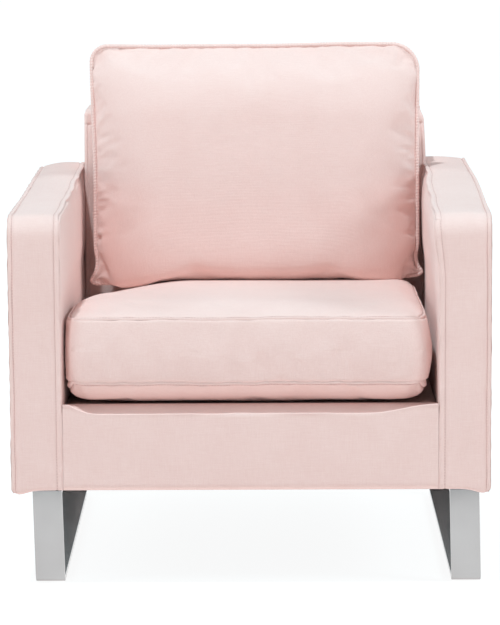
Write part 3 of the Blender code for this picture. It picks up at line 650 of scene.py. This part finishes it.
def make_outside_back():
    """The panel that closes the rear, blind-stitched round its edge."""
    xs = ruled(-0.387, 0.387, 0.009, (0.0, 0.0015, 0.003, 0.006))
    xs = sorted({*xs, -0.3025, -0.2995, 0.2995, 0.3025})
    zs = sorted({*ruled(BASE, 0.719, 0.009, (0.0, 0.0015, 0.003, 0.006)), 0.6050, 0.6080})

    def inside(x, z):
        return abs(x) <= 0.3026 or z <= 0.6081

    def keep(face, middle):
        return face == "+y" and inside(middle[0], middle[2])

    points, faces = box_surface(xs, [REAR - 0.002, REAR], zs, keep)
    p = points.copy()
    edge = np.minimum(0.387 - np.abs(p[:, 0]), 0.719 - p[:, 2])
    notch = np.maximum(0.3025 - np.abs(p[:, 0]), 0.6080 - p[:, 2])
    edge = np.clip(np.minimum(edge, notch), 0.0, None)
    p[:, 1] -= 0.0016 * np.clip(1 - edge / 0.004, 0, 1) ** 2
    p[:, 1] -= 0.0006 * np.abs(lumps(p, 0.15, 70))
    panel = make_piece("outside_back_upholstery", p, faces, PINK, stands_for=("outside_back_panel",))
    add_wall(panel, 0.0015)
    right = [(0.384, BASE + 0.003), (0.384, 0.6045), (0.2990, 0.6045), (0.2990, 0.7155)]
    outline = right + [(-x, z) for x, z in reversed(right)]
    make_stitches("outside_back_stitches", [(x, REAR - 0.0006, z) for x, z in outline], THREAD, pitch=0.007)


def make_dust_cover():
    """Black cloth stapled under the frame, hanging a little between its edges."""
    half_x, low_y, high_y = 0.386, FRONT + 0.004, 0.363
    columns, rows = ruled(-half_x, half_x, 0.014), ruled(low_y, high_y, 0.014)

    def place(x, y):
        edge = min(half_x - abs(x), y - low_y, high_y - y)
        clear = min(abs(x - LEG_X["left"]), abs(x - LEG_X["right"])) > 0.026
        sag = 0.0030 * soften((edge - 0.03) / 0.12) * (abs(x) < 0.29)
        crease = 0.0006 * noise.noise(Vector((x * 25, y * 25, 5.0))) * clear * soften(edge / 0.02)
        return (x, y, LEG_HEIGHT + 0.0014 - sag - abs(crease) * 0.5)

    points, faces = sheet_surface(columns, rows, place)
    cloth = make_piece("dust_cloth", points, [f[::-1] for f in faces], DUST_CLOTH,
                       stands_for=("dust_cover",))
    add_wall(cloth, 0.0006)


def make_staples():
    """Steel staples that hold the dust cloth along its edge."""
    points, faces = [], []
    half_x, low_y, high_y = 0.374, FRONT + 0.014, 0.350
    spots = [(x, y, True) for y in (low_y, high_y) for x in np.arange(-0.28, 0.281, 0.056)]
    spots += [(side * half_x, y, False) for side in (-1, 1) for y in np.arange(-0.32, 0.321, 0.064)]
    zs = [LEG_HEIGHT + 0.0002, LEG_HEIGHT + 0.0009]
    for x, y, crosswise in spots:
        long, wide = (0.005, 0.0006) if crosswise else (0.0006, 0.005)
        add_box(points, faces, [x - long, x + long], [y - wide, y + wide], zs)
    shade_flat(make_piece("dust_cloth_staples", points, faces, ZINC))


# ---- legs ----
def arc(centre, radius, start, end, steps):
    """Points on an arc, from one angle to another in degrees."""
    angles = [math.radians(start + (end - start) * i / steps) for i in range(steps + 1)]
    return [(centre[0] + radius * math.cos(a), centre[1] + radius * math.sin(a)) for a in angles]


def make_leg(label):
    """A flat bar bent to a loop, its long edges eased, shut at the top by its weld."""
    foot, bend = 0.0020, 0.015
    low, high = (-LEG_REACH, foot), (LEG_REACH, LEG_HEIGHT)
    loops = []
    for inset, low_radius, high_radius in ((0.0, bend, 0.004), (BAR_THICKNESS, bend - BAR_THICKNESS, 0.001)):
        y0, z0, y1, z1 = low[0] + inset, low[1] + inset, high[0] - inset, high[1] - inset
        loop = arc((y0 + low_radius, z0 + low_radius), low_radius, 180, 270, 10)
        loop += arc((y1 - low_radius, z0 + low_radius), low_radius, 270, 360, 10)
        loop += arc((y1 - high_radius, z1 - high_radius), high_radius, 0, 90, 4)
        loop += arc((y0 + high_radius, z1 - high_radius), high_radius, 90, 180, 4)
        loops.append(loop)
    x = LEG_X[label] + LEG_SHIFT[label]
    count = len(loops[0])
    points, faces = [], []
    for edge in (x - BAR_WIDTH / 2, x + BAR_WIDTH / 2):
        for loop in loops:
            points += [(edge, y, z) for y, z in loop]
    for i in range(count):
        j = (i + 1) % count
        outer_l, inner_l, outer_r, inner_r = (k * count for k in range(4))
        faces.append((outer_l + i, outer_l + j, outer_r + j, outer_r + i))
        faces.append((inner_l + j, inner_l + i, inner_r + i, inner_r + j))
        faces.append((outer_l + j, outer_l + i, inner_l + i, inner_l + j))
        faces.append((outer_r + i, outer_r + j, inner_r + j, inner_r + i))
    points = [
        (px - LEG_LEAN * (pz - LEG_HEIGHT / 2) - LEG_TURN * (py + LEG_REACH), py, pz)
        for px, py, pz in points
    ]
    leg = make_piece(f"chrome_sled_{label}", points, faces, CHROME,
                     stands_for=(f"sled_leg_{label}",))
    bm = bmesh.new()
    bm.from_mesh(leg.data)
    bmesh.ops.recalc_face_normals(bm, faces=bm.faces)
    bm.to_mesh(leg.data)
    bm.free()
    adjust(leg.modifiers.new("bevel", "BEVEL"), width=0.0008, segments=2, limit_method="ANGLE",
           angle_limit=math.radians(40), harden_normals=True)


# ---- cushions ----
def inflate(piece, pinned, pressure, slack, cap, frames=20):
    """Lets a sewn cover fill out and wrinkle. Pinned points stay, and no point moves further than cap."""
    mesh = piece.data
    before = np.array([v.co[:] for v in mesh.vertices])
    group = piece.vertex_groups.new(name="seams")
    group.add([int(i) for i in pinned], 1.0, "REPLACE")
    cloth = piece.modifiers.new("cloth", "CLOTH")
    settings = adjust(cloth.settings, quality=6, mass=0.25, tension_stiffness=25.0,
                      compression_stiffness=12.0, shear_stiffness=6.0, bending_stiffness=0.12,
                      air_damping=2.0, vertex_group_mass=group.name, use_pressure=True,
                      uniform_pressure_force=pressure, shrink_min=-slack)
    settings.effector_weights.gravity = 0.0
    cloth.collision_settings.use_collision = False
    adjust(cloth.point_cache, frame_start=1, frame_end=frames)
    scene = bpy.context.scene
    for frame_number in range(1, frames + 1):
        scene.frame_set(frame_number)
    settled = piece.evaluated_get(bpy.context.evaluated_depsgraph_get()).to_mesh()
    after = np.array([v.co[:] for v in settled.vertices])
    piece.modifiers.remove(cloth)
    piece.vertex_groups.remove(group)
    scene.frame_set(1)
    move = after - before
    length = np.linalg.norm(move, axis=1, keepdims=True)
    move *= cap * np.tanh(length / cap) / np.maximum(length, 1e-9)
    mesh.vertices.foreach_set("co", (before + move).ravel())
    mesh.update()


def raise_by(piece, heights):
    """Moves each point along its normal."""
    mesh = piece.data
    points = np.array([v.co[:] for v in mesh.vertices])
    normals = np.array([v.normal[:] for v in mesh.vertices])
    mesh.vertices.foreach_set("co", (points + normals * np.asarray(heights)[:, None]).ravel())
    mesh.update()


def keep_between(piece, axis, low, high):
    """Flattens a soft piece where it would push into its neighbours."""
    for vertex in piece.data.vertices:
        vertex.co[axis] = min(max(vertex.co[axis], low), high)


def make_filling(name, shape, faces, centre, scale, placing, material, body, stands_for):
    """What fills a cover: the same form, a little smaller all round."""
    smaller = np.asarray(centre) + (shape - np.asarray(centre)) * np.asarray(scale)
    return make_piece(name, transformed(smaller, placing), faces, material, body, (stands_for,))


def round_corners(p, across, up, low, high, radii):
    """Rounds a rectangle's corners. radii is keyed by the corner's side, such as (-1, 1)."""
    for (side_x, side_y), radius in radii.items():
        edge_x = high[0] if side_x > 0 else low[0]
        edge_y = high[1] if side_y > 0 else low[1]
        a = side_x * (p[:, across] - edge_x) / radius + 1
        b = side_y * (p[:, up] - edge_y) / radius + 1
        inside = (a > 0) & (b > 0)
        disc_a, disc_b = to_disc(a[inside], b[inside])
        p[inside, across] = edge_x + side_x * radius * (disc_a - 1)
        p[inside, up] = edge_y + side_y * radius * (disc_b - 1)


SEAM_LOW, SEAM_HIGH = 0.0435, 0.1460  # of the seat cushion, above the platform
SEAM_HALF = 0.292
SEAT_RADII = {(-1, -1): 0.034, (1, -1): 0.038, (-1, 1): 0.050, (1, 1): 0.050}
SEAT_EDGE = (0.0, 0.0012, 0.0025, 0.0038, 0.0050, 0.0062, 0.0080, 0.0110, 0.0160)
WELT = 0.0050  # from a seam of the seat cushion to its topstitch
ZIP_ROW = 0.0865  # height in the border where its zip lies


def from_seat_seam(lattice):
    """How far each lattice point lies inside the seat cushion's outline."""
    x, y, _ = lattice.T
    return np.minimum(SEAM_HALF - np.abs(x), np.minimum(y, SEAT_DEPTH - y))


def on_seat_panels(lattice):
    """Which lattice points lie on the seat cushion's upper and lower panel."""
    z = lattice[:, 2]
    return z > SEAM_HIGH - 1e-6, z < SEAM_LOW + 1e-6


def seat_shape(lattice):
    """The seat cushion: crowned panels above and below a border with well-rounded corners."""
    p = lattice.copy()
    x, y, z = lattice.T
    on_top, on_bottom = on_seat_panels(lattice)
    edge_x = SEAM_HALF - np.abs(x)
    edge_y = np.minimum(y, SEAT_DEPTH - y)
    edge = np.minimum(edge_x, edge_y)
    round_corners(p, 0, 1, (-SEAM_HALF, 0.0), (SEAM_HALF, SEAT_DEPTH), SEAT_RADII)
    side_roll = np.where(x > 0, 0.009, 0.020)
    crown = 0.0210 * (1 - np.exp(-edge_x / side_roll)) * (1 - np.exp(-edge_y / 0.034))
    roll = np.clip(edge_y / 0.032, 0, 1)
    belly_down = 0.0285 * (0.45 * (1 - (1 - roll) ** 2) + 0.55 * soften(roll)) * (1 - np.exp(-edge_x / 0.007))
    belly_down += 0.0100 * soften(edge / 0.10)
    p[:, 2] += np.where(on_top, crown, 0.0) - np.where(on_bottom, belly_down, 0.0)
    height = np.clip((z - SEAM_LOW) / (SEAM_HIGH - SEAM_LOW), 0, 1)
    out_x = p[:, 0] - np.clip(p[:, 0], -SEAM_HALF + 0.040, SEAM_HALF - 0.040)
    out_y = p[:, 1] - np.clip(p[:, 1], 0.040, SEAT_DEPTH - 0.040)
    length = np.maximum(np.hypot(out_x, out_y), 1e-9)
    reach = np.where(out_x > 0, 0.0075, 0.0012) * np.abs(out_x) / length + 0.0045 * np.abs(out_y) / length
    belly = np.where(on_top | on_bottom, 0.0, reach * np.sin(np.pi * height) ** 0.8) + 0.0020 * (1 - height)
    p[:, 0] += out_x / length * belly
    p[:, 1] += out_y / length * belly
    on_seam = edge < 1e-6
    wander = 0.0006 * ripple(p[:, 0] + 2 * p[:, 1], 0.07, 90) + 0.0006 * ripple(p[:, 0] - p[:, 1], 0.025, 91)
    p[:, 2] += np.where(on_seam | on_top | on_bottom, wander * np.exp(-edge / 0.03), 0.0)
    p[:, 2] -= 0.0098 * soften(y / (0.85 * SEAT_DEPTH)) * height
    rear_left = soften((-x - 0.10) / 0.18) * soften((y - 0.18) / 0.34)
    p[:, 2] -= 0.0230 * rear_left * height
    p[:, 0] += SEAT_SHIFT
    p[:, 1] += 0.0045
    return p


def seat_relief(lattice):
    """The welts along the seams, their topstitching, and the small puckers beside it."""
    x, y, z = lattice.T
    edge = from_seat_seam(lattice)
    high, low = on_seat_panels(lattice)
    panel = high | low
    along = x + y * 1.01
    ridge = bell(edge - WELT * 0.5, WELT * 0.28) * (0.0017 + 0.0004 * ripple(along, 0.012, 92))
    groove = 0.0020 * bell(edge - WELT, 0.0010) + 0.0028 * np.clip(1 - edge / 0.0018, 0, 1)
    left_end = soften((-x - 0.10) / 0.15)
    pucker = ripple(along, 0.0065, 93) * bell(edge - WELT * 1.7, 0.004)
    puckers = pucker * (0.0003 + 0.0012 * left_end * low)
    border = np.minimum(SEAM_HIGH - z, z - SEAM_LOW)
    shallow = 0.0008 * lumps(lattice, 0.11, 94) * soften(np.minimum(border + panel, edge + ~panel) / 0.02)
    return np.where(panel, ridge - groove + puckers, -0.0026 * np.clip(1 - border / 0.0028, 0, 1)) + shallow


def seam_ring(inset, height):
    """A line of lattice points round the seat cushion, inset from its seam."""
    xs = np.arange(-SEAM_HALF + inset, SEAM_HALF - inset, 0.0035)
    ys = np.arange(inset, SEAT_DEPTH - inset, 0.0035)
    low, high, right = inset, SEAT_DEPTH - inset, SEAM_HALF - inset
    ring = [(x, low, height) for x in xs] + [(right, y, height) for y in ys]
    ring += [(-x, high, height) for x in xs] + [(-right, SEAT_DEPTH - y, height) for y in ys]
    return np.array(ring)


def make_seat_cushion():
    xs = ruled(-SEAM_HALF, SEAM_HALF, 0.009, SEAT_EDGE)
    ys = ruled(0.0, SEAT_DEPTH, 0.009, SEAT_EDGE)
    zs = ruled(SEAM_LOW, SEAM_HIGH, 0.009, (0.0, 0.0012, 0.0025, 0.005))
    zs = sorted({*zs, *(ZIP_ROW + shift for shift in (-0.0086, -0.0074, -0.0062, 0.0062, 0.0074, 0.0086))})
    lattice, faces = box_surface(xs, ys, zs)
    shape = seat_shape(lattice)
    cushion = make_piece("seat_cushion", transformed(shape, SEAT_FRAME), faces, PINK, "seat_cushion",
                         stands_for=("seat_cushion_cover",))
    on_top, on_bottom = on_seat_panels(lattice)
    pinned = (from_seat_seam(lattice) < WELT + 1e-6) & (on_top | on_bottom)
    inflate(cushion, np.nonzero(pinned)[0], 0.35, 0.006, 0.003)
    raise_by(cushion, seat_relief(lattice))
    keep_between(cushion, 0, -0.3010, 0.3000)
    press_in(cushion, SEAT_ZIP, SEAT_ZIP_HALF)
    make_zip("seat", SEAT_ZIP, SEAT_ZIP_HALF, "seat_cushion")
    make_filling("seat_core", shape, faces, (SEAT_SHIFT, SEAT_DEPTH / 2, 0.085),
                 (0.975, 0.975, 0.93), SEAT_FRAME, FOAM, "seat_cushion", "seat_cushion_foam")
    for height, name in ((SEAM_HIGH, "top"), (SEAM_LOW, "bottom")):
        ring = transformed(seat_shape(seam_ring(WELT, height)), SEAT_FRAME)
        make_stitches(f"seat_topstitch_{name}", ring, THREAD, "seat_cushion", closed=True)


SEAT_ZIP = SEAT_FRAME @ Matrix.Translation((SEAT_SHIFT, SEAT_DEPTH + 0.002, 0.07225))
BACK_ZIP = Matrix.Translation((PILLOW_SHIFT, 0.2208, 0.4906)) @ Matrix.Rotation(math.radians(-22.5), 4, "X")
SEAT_ZIP_HALF, BACK_ZIP_HALF, ZIP_HALF_WIDTH = 0.240, 0.170, 0.012
TOOTH_PITCH, ZIP_END = 0.0024, 0.004


def press_in(piece, placing, half_length):
    """Presses a cover in under its zip, and laps it over the zip tape's two margins."""
    back = placing.inverted()
    for vertex in piece.data.vertices:
        at = back @ vertex.co
        if at.y > -0.025:
            beside = soften((half_length + 0.042 - abs(at.x)) / 0.020) * soften((0.032 - abs(at.z)) / 0.018)
            level = -0.0024 if abs(at.z) < 0.0068 else 0.0009
            at.y += (level - at.y) * float(beside)
            vertex.co = placing @ at


def make_zip(label, placing, half_length, body):
    """A woven tape with two rows of coil teeth down its middle."""
    columns, rows = ruled(-half_length, half_length, 0.006), ruled(-ZIP_HALF_WIDTH, ZIP_HALF_WIDTH, 0.002)

    def place(x, z):
        return (x, -0.0009 - 0.0003 * abs(noise.noise(Vector((x * 60, 1.0, z * 200)))), z)

    points, faces = sheet_surface(columns, rows, place)
    tape = make_piece(f"{label}_zip_cloth", transformed(points, placing), [f[::-1] for f in faces],
                      ZIP_CLOTH, body, (f"{label}_zip_tape",))
    add_wall(tape, 0.0006)
    points, faces = [], []
    for number in range(int(2 * (half_length - ZIP_END) / TOOTH_PITCH)):
        x, way = -half_length + ZIP_END + number * TOOTH_PITCH, (-1) ** number
        add_box(points, faces, [x, x + 0.0015], [-0.0011, 0.0], sorted([-0.0006 * way, 0.0022 * way]))
    shade_flat(make_piece(f"{label}_zip_teeth", transformed(np.array(points), placing), faces, ZIP_COIL,
                          body))


PILLOW_X, PILLOW_LOW, PILLOW_HIGH = 0.2855, 0.0, 0.4135  # the back cushion's sewn edge, inside its piping
PILLOW_RADII = {(-1, -1): 0.008, (1, -1): 0.008, (1, 1): 0.042, (-1, 1): 0.026}
PIPING_RADIUS = 0.0040
PILLOW_ROLL = 0.070  # height over which the back cushion turns under at its foot
PILLOW_SEAM = 0.0012  # half the thickness of the back cushion's sewn edge
TWIST_PITCH = 0.0052  # of the cloth round the piping cord


def pillow_edge(p):
    """Bends the back cushion's flat outline: sides that pull in below, corners that stick out as ears."""
    x, z = p[:, 0].copy(), p[:, 2].copy()
    side = np.sign(x)
    share = np.clip(np.abs(x) / PILLOW_X, 0, 1)
    lean = np.where(side < 0, 0.0055, 0.0015) * soften((0.41 - z) / 0.24)
    waist = 0.0035 * bell(z - 0.036, 0.016)
    ear = 0.0085 * bell(z, 0.011)
    p[:, 0] -= side * share**6 * (lean + waist - ear)
    arch = 0.0100 * (1 - share**5) * np.exp(-z / 0.06)
    right_ear = 0.0120 * (side > 0) * share**8 * np.exp(-z / 0.05)
    left_sag = 0.0110 * bell(x + 0.210, 0.050) * np.exp(-z / 0.05)
    p[:, 2] += arch + right_ear - left_sag
    p[:, 2] += 0.0012 * ripple(x, 0.16, 95) * soften(z / PILLOW_HIGH)


def pillow_shape(lattice):
    """The back cushion: two full panels joined at their edge, fuller and lower where it stands."""
    p = lattice.copy()
    x, y, z = lattice.T
    front = y < 0
    edge_x = PILLOW_X - np.abs(x)
    low_z = z - PILLOW_LOW
    round_corners(p, 0, 2, (-PILLOW_X, PILLOW_LOW), (PILLOW_X, PILLOW_HIGH), PILLOW_RADII)
    full_x = np.sin(np.pi / 2 * np.clip(edge_x / 0.110, 0, 1)) ** 0.62
    full_top = np.sin(np.pi / 2 * np.clip((PILLOW_HIGH - z) / 0.130, 0, 1)) ** 0.62
    foot = np.clip(low_z / PILLOW_ROLL, 0, 1)
    full_low = np.sin(np.pi / 2 * foot) ** 0.70
    reach = (PILLOW_THICKNESS / 2 - 0.008) * full_x * full_top * full_low
    reach *= np.where(front, 1.0 - 0.14 * soften((z - 0.12) / 0.25), 0.92)
    pillow_edge(p)
    p[:, 1] = np.where(front, -reach - PILLOW_SEAM, reach + PILLOW_SEAM)
    hang = np.where(front, 0.0215, 0.0125) * soften(edge_x / 0.05)
    rolled = PILLOW_ROLL * (foot**2 - foot) - hang * np.sin(np.pi * foot)
    p[:, 2] += np.where(low_z < PILLOW_ROLL, rolled * soften(edge_x / 0.03), 0.0)
    return p


def pillow_relief(lattice):
    """Creases that run in from the side seams, and folds that run into the two lower corners."""
    x, _, z = lattice.T
    edge_x = PILLOW_X - np.abs(x)
    side = np.sign(x)
    out = 0.0007 * ripple(z + 3 * side, 0.007, 96) * bell(edge_x - 0.006, 0.006)
    for way, gap, strength in ((-1, 0.0155, 0.75), (1, 0.0135, 1.0)):
        for number in range(24):
            height = 0.030 + number * gap + 0.005 * math.sin(number * 2.4 + way)
            if height > 0.345:
                break
            uneven = math.sin(number * 5.1 + way * 1.7)
            depth = strength * (0.0019 + 0.0010 * uneven) * float(soften((0.36 - height) / 0.12))
            length = 0.017 + 0.009 * math.sin(number * 3.3 + way)
            across = (z - height - (0.10 + 0.15 * uneven) * edge_x) / (0.0030 + 0.05 * edge_x)
            reach = bell(edge_x, length) * soften(edge_x / 0.003)
            crease = depth * reach * (bell(across, 1.0) - 0.4 * bell(across - 1.7, 1.0))
            out -= np.where(side == way, crease, 0)
    corner = np.hypot(edge_x, z)
    angle = np.arctan2(z, edge_x)
    folds = np.cos(angle * 9 + side * 0.7) * soften(corner / 0.015) * bell(corner, 0.040)
    out += 0.0040 * folds
    top = ripple(x, 0.018, 98) * bell(PILLOW_HIGH - z - 0.008, 0.009)
    full = soften(np.minimum(edge_x, PILLOW_HIGH - z) / 0.04)
    return out + 0.0004 * top + 0.0012 * lumps(lattice, 0.14, 99) * full


def make_back_cushion():
    near = (0.0, 0.0010, 0.0022, 0.0038, 0.0060, 0.0090, 0.0130, 0.0180)
    xs = ruled(-PILLOW_X, PILLOW_X, 0.0100, near)
    zs = ruled(PILLOW_LOW, PILLOW_HIGH, 0.0042, near)
    lattice, faces = box_surface(xs, [-PILLOW_SEAM, PILLOW_SEAM], zs)
    shape = pillow_shape(lattice)
    pillow = make_piece("back_cushion", transformed(shape, PILLOW_FRAME), faces, PINK, "back_cushion",
                        stands_for=("back_cushion_cover",))
    x, _, z = lattice.T
    edge = np.minimum(PILLOW_X - np.abs(x), np.minimum(z - PILLOW_LOW, PILLOW_HIGH - z))
    inflate(pillow, np.nonzero(edge < 0.0005)[0], 0.8, 0.020, 0.008)
    raise_by(pillow, pillow_relief(lattice))
    press_in(pillow, BACK_ZIP, BACK_ZIP_HALF)
    make_zip("back", BACK_ZIP, BACK_ZIP_HALF, "back_cushion")
    make_filling("back_filling", shape, faces, (0.0, 0.0, PILLOW_HIGH / 2), (0.955, 0.87, 0.95),
                 PILLOW_FRAME, FIBRE, "back_cushion", "back_cushion_fill")

    reach = PIPING_RADIUS * 0.7
    ring = np.array([(x, 0.0, z) for x, z in pillow_outline(reach)])
    pillow_edge(ring)
    line = spaced(transformed(ring, PILLOW_FRAME), 0.0011, True)
    points, faces = ring_tube(line, rope_radius, 14)
    make_piece("back_piping", points, faces, PINK, "back_cushion", stands_for=("back_cushion_piping",))


def rope_radius(distance, angle):
    """Cloth twisted round the piping cord, in slanting rolls."""
    twist = math.cos(angle - distance * 2 * math.pi / TWIST_PITCH)
    slow = noise.noise(Vector((distance * 40, 0.0, 0.0)))
    return PIPING_RADIUS * (0.96 + (0.085 + 0.06 * slow) * twist + 0.06 * slow)


def pillow_outline(grow):
    """The back cushion's rounded outline as (x, z) points, grown outwards."""
    low = (-PILLOW_X - grow, PILLOW_LOW - grow)
    high = (PILLOW_X + grow, PILLOW_HIGH + grow)
    points = []
    for (side_x, side_z), start in (((-1, -1), 180), ((1, -1), 270), ((1, 1), 0), ((-1, 1), 90)):
        radius = PILLOW_RADII[(side_x, side_z)] + grow
        centre = ((high[0] if side_x > 0 else low[0]) - side_x * radius,
                  (high[1] if side_z > 0 else low[1]) - side_z * radius)
        points += arc(centre, radius, start, start + 90, 12)
    points.append(points[0])
    dense = spaced([(x, 0.0, z) for x, z in points], 0.002)
    return [(x, z) for x, _, z in dense[:-1]]


# ---- CAD nodes that stay ----
def finish_cad_nodes():
    """Gives each CAD node the material of its slot."""
    slots = {
        "wood": WOOD, "foam": FOAM, "fibre": FIBRE, "felt": FELT, "webbing": WEBBING,
        "spring_steel": SPRING_STEEL, "zinc": ZINC, "glide_plastic": PLASTIC, "zip_tape": ZIP_CLOTH,
        "pink_fabric": PINK, "lining": LINING, "dust_cloth": DUST_CLOTH, "chrome": CHROME,
    }
    slot_of = {part["node"]: part["material_slot"] for part in frame["record"]["subparts"]}
    for name, node in frame["nodes"].items():
        node.data.materials.clear()
        node.data.materials.append(slots[slot_of[name]])


# ---- room, light, camera ----
LIGHT_COLOUR = (0.80, 1.0, 1.05)
LIGHT_AIM = Vector((0.0, 0.0, 0.45))


def make_floor():
    bpy.ops.mesh.primitive_plane_add(size=400.0)
    floor = bpy.context.object
    floor.name = "floor"
    floor.data.materials.append(floor_material())


def make_light(name, location, size, power):
    """A round lamp that points at the middle of the chair."""
    light = bpy.data.lights.new(name, "AREA")
    adjust(light, shape="DISK", size=size, energy=power, color=LIGHT_COLOUR)
    lamp = bpy.data.objects.new(name, light)
    lamp.location = location
    lamp.rotation_euler = (LIGHT_AIM - Vector(location)).to_track_quat("-Z", "Y").to_euler()
    bpy.context.scene.collection.objects.link(lamp)


def make_room():
    """A bright studio: a high key from the left of the camera, weak fills on both sides, a pale surround."""
    make_floor()
    world = bpy.data.worlds.new("studio")
    world.use_nodes = True
    background = world.node_tree.nodes["Background"]
    background.inputs["Color"].default_value = (*LIGHT_COLOUR, 1.0)
    background.inputs["Strength"].default_value = 0.435
    bpy.context.scene.world = world
    make_light("key", (-1.30, -1.65, 7.0), 0.35, 280.0)
    make_light("left fill", (-4.0, -1.4, 3.0), 1.5, 32.0)
    make_light("right fill", (4.0, -1.4, 3.0), 1.5, 72.0)
    bpy.context.scene.view_settings.view_transform = "Standard"


def make_camera():
    camera = bpy.data.cameras.new("camera")
    adjust(camera, sensor_width=36.0, lens=183.5, clip_end=200.0)
    eye = bpy.data.objects.new("camera", camera)
    turn = (
        Matrix.Rotation(math.radians(0.82), 4, "Z")
        @ Matrix.Rotation(math.radians(90 - 8.88), 4, "X")
        @ Matrix.Rotation(math.radians(-0.38), 4, "Z")
    )
    eye.matrix_world = Matrix.Translation((0.073, -5.440, 1.246)) @ turn
    bpy.context.scene.collection.objects.link(eye)
    bpy.context.scene.camera = eye


make_room()
make_camera()
for arm_label, arm_side in SIDES:
    make_arm(arm_label, arm_side)
    make_leg(arm_label)
make_apron()
make_platform()
make_fixed_back()
make_outside_back()
make_dust_cover()
make_staples()
make_seat_cushion()
make_back_cushion()
finish_cad_nodes()
